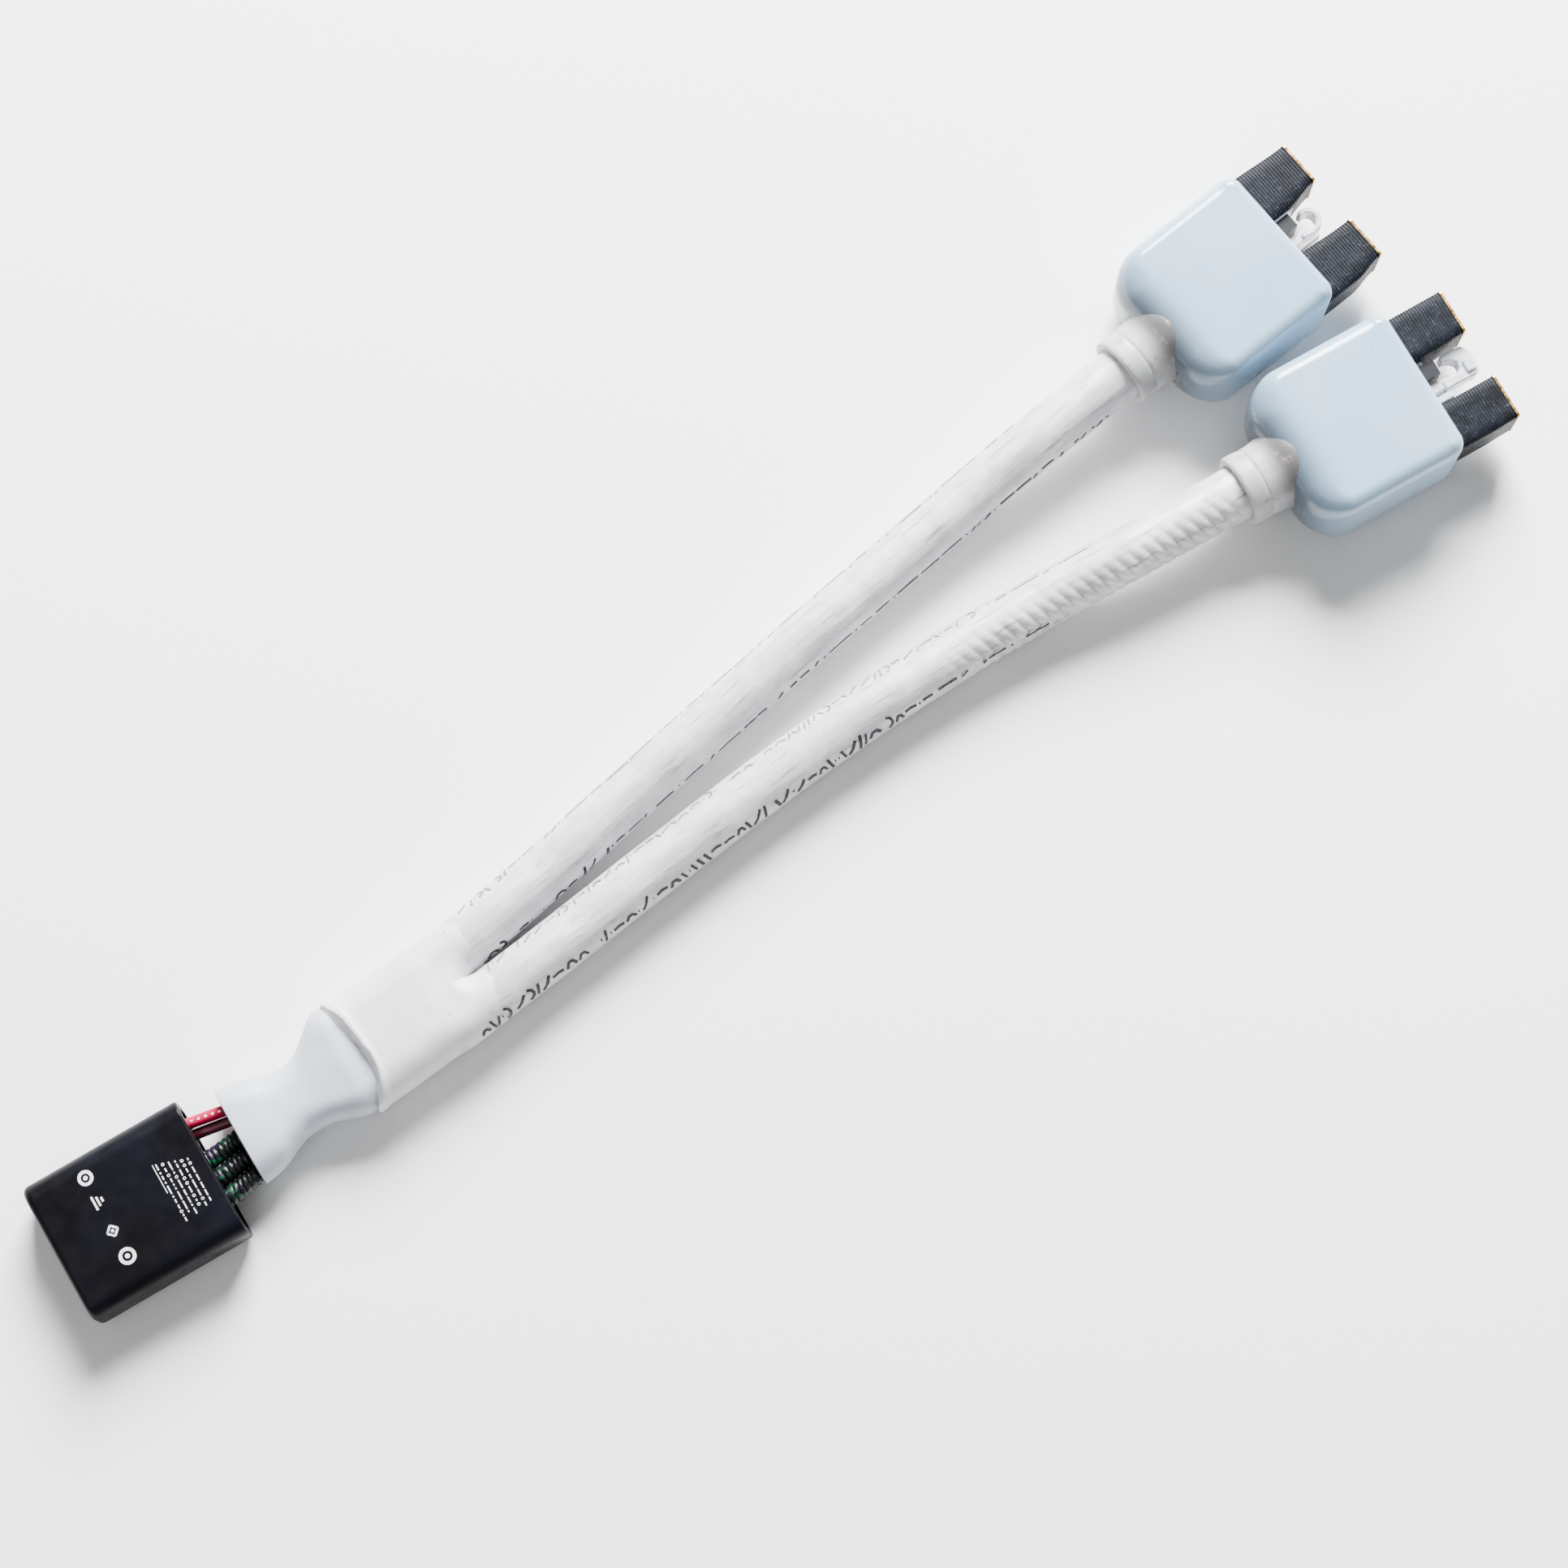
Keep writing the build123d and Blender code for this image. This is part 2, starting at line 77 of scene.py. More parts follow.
def show(name, data):
    """New object in the scene."""
    thing = bpy.data.objects.new(name, data)
    bpy.context.scene.collection.objects.link(thing)
    return thing


def aim(thing, at, look):
    """Stand a camera or lamp at a place, looking at another."""
    thing.location = at
    thing.rotation_euler = (Vector(look) - Vector(at)).to_track_quat("-Z", "Y").to_euler()


def make_camera():
    data = bpy.data.cameras.new("camera")
    data.lens = LENS_MM
    data.sensor_width = SENSOR_MM
    data.clip_start, data.clip_end = 0.01, 10
    camera = show("camera", data)
    aim(camera, CAMERA_AT, CAMERA_LOOKS_AT)
    bpy.context.scene.camera = camera


# ---- mesh helpers
def finish_piece(name, mesh, body, sharp):
    """Object that rides on a body, smooth up to the sharp angle, or flat without one."""
    if sharp:
        mesh.shade_smooth()
        mesh.set_sharp_from_angle(angle=math.radians(sharp))
    piece = show(name, mesh)
    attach(piece, body)
    return piece


def add_mesh(name, verts, faces, sharp=35):
    """New piece of the module from millimetre points."""
    mesh = bpy.data.meshes.new(name)
    mesh.from_pydata([Vector(v) * MM for v in verts], [], faces)
    mesh.validate()
    bm = bmesh.new()
    bm.from_mesh(mesh)
    bmesh.ops.recalc_face_normals(bm, faces=bm.faces)
    bm.to_mesh(mesh)
    bm.free()
    return finish_piece(name, mesh, "module", sharp)


def skin(rings, closed=False, first_cap=False, last_cap=False):
    """Points and quads of a tube through rings of equal length; closed joins last to first."""
    count = len(rings[0])
    verts = [p for ring in rings for p in ring]
    faces = []
    steps = len(rings) if closed else len(rings) - 1
    for i in range(steps):
        a, b = i * count, ((i + 1) % len(rings)) * count
        for j in range(count):
            k = (j + 1) % count
            faces.append((a + j, a + k, b + k, b + j))
    if first_cap:
        faces.append(tuple(range(count)))
    if last_cap:
        faces.append(tuple(range(len(verts) - count, len(verts))))
    return verts, faces


def capped(rings):
    """Points and faces of a tube closed at both ends."""
    return skin(rings, first_cap=True, last_cap=True)


def join(*parts):
    """One point and face list from several."""
    verts, faces = [], []
    for v, f in parts:
        start = len(verts)
        verts += v
        faces += [tuple(i + start for i in face) for face in f]
    return verts, faces


def circle(count):
    """Cosine and sine at even steps round a circle."""
    turns = [2 * math.pi * i / count for i in range(count)]
    return [(math.cos(a), math.sin(a)) for a in turns]


def rounded_outline(half_w, half_h, corner, per_corner=10, per_side=6):
    """Even walk round a rounded rectangle in the plane, as (u, v) pairs."""
    corner = min(corner, half_w - 1e-4, half_h - 1e-4)
    points = []
    centres = [(half_w - corner, half_h - corner), (corner - half_w, half_h - corner),
               (corner - half_w, corner - half_h), (half_w - corner, corner - half_h)]
    for q, (cu, cv) in enumerate(centres):
        for i in range(per_corner + 1):
            a = math.radians(90 * (q + i / per_corner))
            points.append((cu + corner * math.cos(a), cv + corner * math.sin(a)))
        last, nxt = points[-1], centres[(q + 1) % 4]
        a = math.radians(90 * (q + 1))
        target = (nxt[0] + corner * math.cos(a), nxt[1] + corner * math.sin(a))
        for i in range(1, per_side):
            t = i / per_side
            points.append((last[0] + (target[0] - last[0]) * t, last[1] + (target[1] - last[1]) * t))
    return points


def smooth_row(rows, x):
    """Row of values at x from rows that start with x, by a smooth cubic through them."""
    if x <= rows[0][0]:
        return rows[0][1:]
    if x >= rows[-1][0]:
        return rows[-1][1:]
    i = max(k for k in range(len(rows) - 1) if rows[k][0] <= x)
    a, b = rows[i], rows[i + 1]
    before, after = rows[max(i - 1, 0)], rows[min(i + 2, len(rows) - 1)]
    h = b[0] - a[0]
    t = (x - a[0]) / h
    out = []
    for k in range(1, len(a)):
        slope_a = (b[k] - before[k]) / (b[0] - before[0])
        slope_b = (after[k] - a[k]) / (after[0] - a[0])
        out.append((2 * t ** 3 - 3 * t ** 2 + 1) * a[k] + (t ** 3 - 2 * t ** 2 + t) * h * slope_a
                   + (3 * t ** 2 - 2 * t ** 3) * b[k] + (t ** 3 - t ** 2) * h * slope_b)
    return out


def ease(t):
    """Smooth step from 0 to 1, flat outside."""
    t = min(max(t, 0.0), 1.0)
    return t * t * (3 - 2 * t)


def wobble(x, y, z, scale, seed=0.0):
    """Smooth noise of about -1 to 1 at a place, coarser for a smaller scale."""
    return noise.noise(Vector((x * scale + seed, y * scale, z * scale)))


# ---- materials
class Shader:
    """Short hand for building one node material."""

    def __init__(self, name, base, rough, **sockets):
        self.mat = bpy.data.materials.new(name)
        self.mat.use_nodes = True
        self.tree = self.mat.node_tree
        self.bsdf = self.tree.nodes["Principled BSDF"]
        self.bsdf.inputs["Base Color"].default_value = (*base, 1)
        self.bsdf.inputs["Roughness"].default_value = rough
        for socket, value in sockets.items():
            self.bsdf.inputs[socket.replace("_", " ")].default_value = value
        self.coords = self.node("ShaderNodeTexCoord").outputs["Object"]

    def node(self, kind, **values):
        n = self.tree.nodes.new(kind)
        for key, value in values.items():
            if key in n.inputs:
                n.inputs[key].default_value = value
            else:
                setattr(n, key, value)
        return n

    def link(self, a, b):
        self.tree.links.new(a, b)

    def stretched(self, sx, sy, sz, turn=0.0, source=None):
        m = self.node("ShaderNodeMapping")
        m.inputs["Scale"].default_value = (sx, sy, sz)
        m.inputs["Rotation"].default_value = (0, 0, turn)
        self.link(source or self.coords, m.inputs["Vector"])
        return m.outputs["Vector"]

    def noise(self, scale, detail=3.0, vector=None, rough=0.5):
        n = self.node("ShaderNodeTexNoise", Scale=scale, Detail=detail, Roughness=rough)
        self.link(vector or self.coords, n.inputs["Vector"])
        return n.outputs["Fac"]

    def ramp(self, fac, *stops):
        n = self.node("ShaderNodeValToRGB")
        while len(n.color_ramp.elements) < len(stops):
            n.color_ramp.elements.new(0.5)
        for element, (at, value) in zip(n.color_ramp.elements, stops):
            element.position = at
            colour = value if hasattr(value, "__len__") else (value, value, value)
            element.color = (*colour, 1)
        self.link(fac, n.inputs["Fac"])
        return n.outputs["Color"]

    def feed(self, socket, value):
        """Link an output to a socket, or set a number or colour on it."""
        if isinstance(value, bpy.types.NodeSocket):
            self.link(value, socket)
        else:
            socket.default_value = (*value, 1) if hasattr(value, "__len__") else value

    def mix(self, fac, a, b):
        n = self.node("ShaderNodeMix", data_type="RGBA")
        for index, value in ((0, fac), (6, a), (7, b)):
            self.feed(n.inputs[index], value)
        return n.outputs[2]

    def math(self, how, a, b):
        n = self.node("ShaderNodeMath", operation=how)
        self.feed(n.inputs[0], a)
        self.feed(n.inputs[1], b)
        return n.outputs[0]

    def drift(self, scale, detail, low, high):
        """Colour that drifts between two tones."""
        return self.mix(self.ramp(self.noise(scale, detail), (0.3, 0.0), (0.7, 1.0)), low, high)

    def gloss(self, scale, detail, low, high):
        """Roughness that wanders between two values."""
        return self.roughness(self.ramp(self.noise(scale, detail), (0.3, low), (0.7, high)))

    def shade(self, strength):
        """The piece's own shade values, as a mix factor."""
        value = self.node("ShaderNodeAttribute", attribute_name="shade").outputs["Fac"]
        return self.math("MULTIPLY", value, strength)

    def colour(self, socket):
        self.link(socket, self.bsdf.inputs["Base Color"])
        return self

    def roughness(self, socket):
        self.link(socket, self.bsdf.inputs["Roughness"])
        return self

    def bump(self, height, strength, distance):
        n = self.node("ShaderNodeBump", Strength=strength, Distance=distance)
        self.link(height, n.inputs["Height"])
        self.link(n.outputs["Normal"], self.bsdf.inputs["Normal"])
        return self


def mottled(name, base, rough, spread=0.06, scale=900, bump=0.08, rough_spread=0.08, **sockets):
    """Moulded plastic or rubber: faint colour drift, uneven gloss and a fine grain."""
    s = Shader(name, base, rough, **sockets)
    low = tuple(max(c * (1 - spread), 0) for c in base)
    high = tuple(min(c * (1 + spread), 1) for c in base)
    s.colour(s.drift(scale * 0.25, 3, low, high))
    s.gloss(scale * 0.6, 3, max(rough - rough_spread, 0.02), rough + rough_spread)
    s.bump(s.noise(scale * 4), bump, 0.00004)
    return s.mat


def case_black():
    """Satin black shell with a faint blue drift and fine grain."""
    s = Shader("case_black", (0.003, 0.003, 0.005), 0.36, Specular_IOR_Level=0.1)
    drift = s.ramp(s.noise(90, 2), (0.35, 0.0), (0.65, 1.0))
    s.colour(s.mix(drift, (0.0018, 0.0018, 0.0024), (0.0034, 0.0034, 0.0066)))
    s.gloss(500, 4, 0.32, 0.45)
    s.bump(s.noise(9000, 3), 0.12, 0.00003)
    return s.mat


def printed_ink():
    """White print, worn a little grey."""
    s = Shader("printed_ink", (0.8, 0.8, 0.82), 0.55)
    s.colour(s.mix(s.ramp(s.noise(2500, 4), (0.35, 0.0), (0.6, 1.0)),
                   (0.45, 0.46, 0.5), (0.86, 0.86, 0.88)))
    s.bump(s.noise(6000, 2), 0.2, 0.00003)
    return s.mat


def cable_ink(name, dark, pale):
    """Ink on a jacket, worn from its dark tone to its pale one."""
    s = Shader(name, dark, 0.5, Specular_IOR_Level=0.2)
    s.colour(s.mix(s.ramp(s.noise(3000, 4), (0.45, 0.0), (0.75, 1.0)), dark, pale))
    s.bump(s.noise(6000, 2), 0.15, 0.00003)
    return s.mat


def soft_white(name, low, high):
    """Heat-shrink or boot rubber: satin white with a drift of tone and a few specks."""
    s = Shader(name, high, 0.42, Subsurface_Weight=0.12, Subsurface_Scale=0.002)
    tone = s.drift(110, 3, low, high)
    specks = s.ramp(s.noise(1500, 1), (0.735, 0.0), (0.76, 1.0))
    s.colour(s.mix(specks, tone, (0.45, 0.42, 0.38)))
    s.gloss(300, 4, 0.34, 0.5)
    s.bump(s.noise(700, 4), 0.12, 0.0002)
    return s.mat


def cable_white():
    """Pearly jacket: streaks along the cable from its own flow coordinates."""
    s = Shader("cable_white", (0.8, 0.81, 0.83), 0.33, Coat_Weight=0.25, Coat_Roughness=0.2,
               Subsurface_Weight=0.1, Subsurface_Scale=0.002)
    flow = s.node("ShaderNodeAttribute", attribute_name="flow").outputs["Vector"]
    streaks = s.noise(1.0, 5, s.stretched(140, 1500, 1, source=flow), 0.65)
    patches = s.noise(1.0, 3, s.stretched(120, 260, 1, source=flow))
    tone = s.mix(s.ramp(patches, (0.3, 0.0), (0.7, 1.0)), (0.48, 0.49, 0.52),
                 (0.76, 0.76, 0.765))
    mottle = s.noise(1.0, 4, s.stretched(420, 520, 1, source=flow), 0.6)
    tone = s.mix(s.ramp(mottle, (0.45, 0.0), (0.7, 0.6)), tone, (0.44, 0.44, 0.47))
    tone = s.mix(s.ramp(streaks, (0.55, 0.0), (0.68, 0.8)), tone, (0.22, 0.22, 0.25))
    s.colour(tone)
    s.roughness(s.ramp(streaks, (0.3, 0.26), (0.7, 0.46)))
    s.bump(streaks, 0.25, 0.00025)
    return s.mat


def collar_white():
    """Satin strain relief with brown specks, shaded where it meets the shell."""
    s = Shader("collar_white", (0.78, 0.78, 0.78), 0.4, Subsurface_Weight=0.1,
               Subsurface_Scale=0.002)
    tone = s.drift(240, 4, (0.35, 0.36, 0.37), (0.46, 0.47, 0.48))
    tone = s.mix(s.shade(0.85), tone, (0.055, 0.052, 0.056))
    dirt = s.ramp(s.noise(900, 2), (0.61, 0.0), (0.70, 0.75))
    s.colour(s.mix(dirt, tone, (0.3, 0.24, 0.2)))
    s.gloss(500, 4, 0.32, 0.5)
    s.bump(s.noise(900, 4), 0.15, 0.0002)
    return s.mat


def plug_white():
    """Glossy white shell with a cool tint, shaded towards its back."""
    s = Shader("plug_white", (0.74, 0.79, 0.83), 0.2, Coat_Weight=0.3, Coat_Roughness=0.08)
    tone = s.drift(45, 2, (0.275, 0.42, 0.56), (0.335, 0.47, 0.60))
    s.colour(s.mix(s.shade(1.0), tone, (0.035, 0.037, 0.043)))
    s.gloss(160, 4, 0.16, 0.28)
    s.bump(s.noise(260, 2), 0.04, 0.0003)
    return s.mat


def prong_dark():
    """Dark ribbed plastic with a pale woven speckle in the grain."""
    s = Shader("prong_dark", (0.010, 0.012, 0.017), 0.5, Specular_IOR_Level=0.13)
    along = s.noise(1.0, 2, s.stretched(1100, 5200, 1100), 0.7)
    across = s.noise(1.0, 2, s.stretched(5200, 1100, 1100), 0.7)
    weave = s.math("MAXIMUM", along, across)
    tone = s.drift(600, 4, (0.0018, 0.0026, 0.0045), (0.0075, 0.0095, 0.0145))
    s.colour(s.mix(s.ramp(weave, (0.62, 0.0), (0.76, 0.7)), tone, (0.06, 0.07, 0.088)))
    s.roughness(s.ramp(weave, (0.4, 0.4), (0.7, 0.6)))
    s.bump(weave, 0.5, 0.00008)
    return s.mat


def wrap_black():
    """Glossy ribbed wrap with painted green and violet glints along it."""
    s = Shader("wrap_black", (0.004, 0.006, 0.006), 0.34, Specular_IOR_Level=0.35)
    # painted glints: green and violet patches in the base colour stand in for glints of light
    place = s.noise(420, 2, s.stretched(1, 2.4, 1))
    tone = s.mix(s.ramp(place, (0.56, 0.0), (0.64, 1.0)), (0.003, 0.004, 0.005),
                 (0.002, 0.06, 0.022))
    violet = s.ramp(s.noise(520, 2, s.stretched(1.3, 2.0, 1, 0.4)), (0.58, 0.0), (0.66, 0.8))
    s.colour(s.mix(violet, tone, (0.02, 0.006, 0.035)))
    s.gloss(900, 3, 0.22, 0.45)
    s.bump(s.noise(2600, 3), 0.15, 0.00006)
    return s.mat


def metal(name, base, rough):
    """Metal with a fine brushed grain along X."""
    s = Shader(name, base, rough, Metallic=1.0)
    grain = s.noise(1.0, 4, s.stretched(208, 2600, 2600))
    s.colour(s.mix(s.ramp(grain, (0.3, 0.0), (0.7, 1.0)),
                   tuple(c * 0.82 for c in base), base))
    s.roughness(s.ramp(grain, (0.3, max(rough - 0.08, 0.05)), (0.7, rough + 0.1)))
    s.bump(grain, 0.12, 0.00004)
    return s.mat


def latch_clear():
    """Milky translucent moulding."""
    s = Shader("latch_clear", (0.86, 0.87, 0.885), 0.16, Transmission_Weight=0.12, IOR=1.49,
               Subsurface_Weight=0.3, Subsurface_Scale=0.001)
    s.colour(s.drift(900, 4, (0.55, 0.56, 0.6), (0.85, 0.85, 0.87)))
    s.gloss(1400, 3, 0.1, 0.26)
    s.bump(s.noise(1500, 3), 0.2, 0.0001)
    return s.mat


def board_green():
    """Solder mask with paler tracks."""
    s = Shader("board_green", (0.02, 0.12, 0.055), 0.3)
    tracks = s.node("ShaderNodeTexBrick", Scale=420.0)
    s.link(s.coords, tracks.inputs["Vector"])
    s.colour(s.mix(tracks.outputs["Fac"], (0.015, 0.10, 0.045), (0.03, 0.2, 0.09)))
    s.bump(s.noise(2000, 3), 0.1, 0.00005)
    return s.mat


MATERIALS = {
    "case_black": case_black(),
    "board_green": board_green(),
    "wrap_black": wrap_black(),
    "sleeve_white": soft_white("sleeve_white", (0.41, 0.45, 0.53), (0.50, 0.53, 0.595)),
    "cable_white": cable_white(),
    "plug_white": plug_white(),
    "collar_white": collar_white(),
    "prong_dark": prong_dark(),
    "latch_clear": latch_clear(),
    "lead_red": mottled("lead_red", (0.40, 0.0, 0.045), 0.3, 0.2, 1200, 0.06,
                        Specular_IOR_Level=0.2),
    "lead_maroon": mottled("lead_maroon", (0.09, 0.003, 0.02), 0.2, 0.6, 2500, 0.2,
                           Coat_Weight=0.3, Coat_Roughness=0.06),
    "key_dark": mottled("key_dark", (0.009, 0.010, 0.014), 0.45, 0.2, 1500, 0.2,
                        Specular_IOR_Level=0.25),
    "ferrite": mottled("ferrite", (0.05, 0.05, 0.053), 0.6, bump=0.3),
}
# Base colour and roughness of the plainer mouldings and of the metals
MOULDINGS = {
    "guide_black": ((0.012, 0.012, 0.013), 0.55), "bobbin_nylon": ((0.62, 0.55, 0.38), 0.4),
    "component_black": ((0.02, 0.02, 0.023), 0.5), "ceramic": ((0.5, 0.38, 0.25), 0.45),
    "thermal_grey": ((0.3, 0.32, 0.35), 0.7), "lead_black": ((0.012, 0.012, 0.014), 0.22),
    "lead_green": ((0.01, 0.2, 0.06), 0.22), "core_red": ((0.55, 0.015, 0.04), 0.25),
    "carrier_grey": ((0.5, 0.52, 0.55), 0.5),
}
METALS = {
    "copper": ((0.72, 0.33, 0.16), 0.3), "can_aluminium": ((0.78, 0.79, 0.8), 0.32),
    "solder": ((0.72, 0.72, 0.72), 0.3), "crimp_tin": ((0.75, 0.75, 0.76), 0.28),
    "contact_gold": ((0.86, 0.5, 0.14), 0.24), "pin_steel": ((0.62, 0.62, 0.64), 0.25),
}
MATERIALS.update({name: mottled(name, *look) for name, look in MOULDINGS.items()})
MATERIALS.update({name: metal(name, *look) for name, look in METALS.items()})


def dress(piece, slot, material=None):
    """Material of a piece or CAD node, from its slot name unless a material is given."""
    mesh = piece.data
    mesh.materials.clear()
    mesh.materials.append(material or MATERIALS[slot])
    return piece


def dress_cad_nodes():
    """Procedural material on every CAD node, by its record slot."""
    for row in frame["record"]["subparts"]:
        for slot in NODES[row["node"]].material_slots:
            slot.material = MATERIALS[row["material_slot"]]


def paint(piece, name, kind, values):
    """Store a value at every point of a piece, for its material to read."""
    layer = piece.data.attributes.new(name, kind, "POINT")
    layer.data.foreach_set("value" if kind == "FLOAT" else "vector", values)


class PlugFrame:
    """A plug's own axes, read from its face mount: x out of the face, origin at the mouth."""

    def __init__(self, tag):
        mount = MOUNTS[f"plug_face_{tag}"]
        self.tag = tag
        self.axis = Vector(mount["axis"]).normalized()
        self.side = Vector((-self.axis.y, self.axis.x, 0))
        self.mouth = Vector(mount["pos_m"]) / MM - self.axis * PLUG_LENGTH

    def at(self, x, y=0.0, z=0.0):
        p = self.mouth + self.axis * x + self.side * y
        return Vector((p.x, p.y, p.z + z))

    def place(self, points):
        return [self.at(*p) for p in points]


PLUG_A, PLUG_B = PlugFrame("a"), PlugFrame("b")

UPPER_ROUTE = [
    (42.5, 7.55, 4.10), (48.5, 8.35, 4.05), (60.0, 10.75, 3.55), (75.0, 14.15, 3.52),
    (90.0, 17.35, 3.52), (105.0, 20.40, 3.52), (119.0, 23.15, 3.54), (131.0, 25.40, 4.10),
    PLUG_A.at(-11.5, 0, -0.30), PLUG_A.at(5.0),
]
LOWER_ROUTE = [
    (42.5, 0.40, 4.10), (48.5, 1.15, 4.05), (60.0, 2.80, 3.55), (75.0, 5.05, 3.52),
    (90.0, 7.10, 3.52), (105.0, 8.65, 3.52), (120.0, 9.45, 3.54), (134.0, 9.45, 4.10),
    PLUG_B.at(-12.5, 0, -0.35), PLUG_B.at(5.0),
]


def spline_points(name, route):
    """Points along the route's NURBS spline, in millimetres."""
    curve = bpy.data.curves.new(name, "CURVE")
    curve.dimensions = "3D"
    curve.resolution_u = 40
    spline = curve.splines.new("NURBS")
    spline.points.add(len(route) - 1)
    for point, at in zip(spline.points, route):
        point.co = (*[c * MM for c in at], 1)
    spline.order_u = 3
    spline.use_endpoint_u = True
    guide = show(name, curve)
    bpy.context.view_layer.update()
    mesh = bpy.data.meshes.new_from_object(guide)
    points = [v.co / MM for v in mesh.vertices]
    bpy.data.meshes.remove(mesh)
    bpy.data.objects.remove(guide)
    bpy.data.curves.remove(curve)
    return points


def evenly(points, step):
    """Points a step apart along a line, with the distance of each from its start."""
    out, gone, due = [points[0].copy()], 0.0, step
    for a, b in zip(points, points[1:]):
        run = (b - a).length
        while run > 1e-9 and gone + run >= due:
            out.append(a.lerp(b, (due - gone) / run))
            due += step
        gone += run
    out.append(points[-1].copy())
    return out


class Line:
    """A cable's centre line with a side and an up direction everywhere."""

    def __init__(self, name, route, step):
        self.points = evenly(spline_points(name, route), step)
        self.step = step
        ends = [self.points[0]] + self.points + [self.points[-1]]
        self.tangents = [(c - a).normalized() for a, c in zip(ends, ends[2:])]
        self.sides = [t.cross(Vector((0, 0, 1))).normalized() for t in self.tangents]
        self.ups = [s.cross(t) for s, t in zip(self.sides, self.tangents)]

    def index(self, x):
        """Nearest point index to a place along X."""
        return min(range(len(self.points)), key=lambda i: abs(self.points[i].x - x))

    def on_surface(self, i, angle, radius):
        """Point at an angle round the line: 0 is its right-hand side, 90 is up."""
        a = math.radians(angle)
        return (self.points[i] + self.sides[i] * radius * math.cos(a)
                + self.ups[i] * radius * math.sin(a))


UPPER = Line("upper_line", UPPER_ROUTE, 0.35)
LOWER = Line("lower_line", LOWER_ROUTE, 0.2)

RIDGE_X0, RIDGE_X1 = 113.0, 160.0
RIDGE_FADE_IN, RIDGE_FADE_OUT = 12, 5
RIDGE_PITCH, RIDGE_DEPTH = 1.65, 0.32
RIDGE_SLANT = 56          # degrees round the cable for one ridge's shift along it
RIDGE_FLANK = 10          # angle of the side where the ridges are deepest
SKIN_WOBBLE = 0.05
AROUND = 64


def make_cable(name, line, seed, ridged):
    """Jacket with a slightly uneven skin; the ridged one has rope-like ridges near its plug."""
    rings, flow = [], []
    for i, centre in enumerate(line.points):
        ring = []
        for j in range(AROUND):
            turn = 360 * j / AROUND
            a = math.radians(turn)
            dents = wobble(centre.x, j / AROUND * 6, 0, 0.35, seed)
            creases = wobble(centre.x * 0.12, math.cos(a) * 7, math.sin(a) * 7, 0.9, seed + 9)
            radius = CABLE_R - SKIN_WOBBLE + SKIN_WOBBLE * dents
            radius += SKIN_WOBBLE * creases
            if ridged:
                run = (ease((centre.x - RIDGE_X0) / RIDGE_FADE_IN)
                       * ease((RIDGE_X1 - centre.x) / RIDGE_FADE_OUT))
                flank = max(math.cos(math.radians(turn - RIDGE_FLANK)), 0.0) ** 0.9
                wave = abs(math.sin(math.pi * (i * line.step / RIDGE_PITCH + turn / RIDGE_SLANT)))
                radius -= RIDGE_DEPTH * run * flank * (1 - wave ** 0.8)
            ring.append(line.on_surface(i, turn, radius))
            flow.append((i * line.step * MM, turn / 360 * 2 * math.pi * CABLE_R * MM, 0.0))
        rings.append(ring)
    piece = add_mesh(name, *capped(rings))
    paint(piece, "flow", "FLOAT_VECTOR", [c for f in flow for c in f])
    return dress(piece, "cable_white")


INK_HEIGHT, INK_SINK = 0.03, 0.02


def stroke_on_cable(line, path, width, cover):
    """Flat printed stroke through (distance along, angle round) pairs, over a cover."""
    rings = []
    radius = CABLE_R + cover + INK_SINK
    for k, (s, angle) in enumerate(path):
        s2, angle2 = path[min(k + 1, len(path) - 1)]
        s1, angle1 = path[max(k - 1, 0)]
        ds, da = s2 - s1, math.radians(angle2 - angle1) * radius
        size = math.hypot(ds, da) or 1
        ns, na = -da / size * width / 2, ds / size * width / 2
        ring = []
        for sign, lift in ((1, 0), (1, INK_HEIGHT), (-1, INK_HEIGHT), (-1, 0)):
            i = min(max(int(round((s + sign * ns) / line.step)), 0), len(line.points) - 1)
            f = (s + sign * ns) / line.step - i
            turn = angle + math.degrees(sign * na / radius)
            p = line.on_surface(i, turn, radius + lift - INK_SINK)
            ring.append(p + line.tangents[i] * f * line.step)
        rings.append(ring)
    return capped(rings)


# Shapes as (share of the length, share of the height) points
MARKS = {
    "bar": [(0, 0), (0.5, 0.15), (1, 0)],
    "tick": [(0, -1), (0.3, 0.9)],
    "back_tick": [(0.35, -1), (0, 0.6)],
    "arc": [(0, 0.9), (0.35, 0.6), (0.5, 0), (0.35, -0.6), (0, -0.9)],
    "flat_arc": [(0, -0.5), (0.3, 0.2), (0.7, 0.2), (1, -0.5)],
    "slope": [(0, -0.7), (0.5, -0.1), (1, 0.8)],
    "dot": [(0, 0), (0.12, 0)],
}
# Ranges: stroke width, mark length and gap in millimetres, mark height in degrees
BOLD = {"kinds": list(MARKS), "width": (0.27, 0.4), "long": (1.1, 1.7), "tall": (12, 19),
        "gap": (0.3, 0.5)}
THIN = {"kinds": ["bar", "bar", "tick", "dot"], "width": (0.2, 0.34), "long": (1.4, 3.8),
        "tall": (2, 6), "gap": (0.2, 0.9)}
BREAK_CHANCE, BREAK = 0.1, (0.8, 2.0)
STROKE_PIECES = 4         # each straight run of a mark follows the cable in this many steps


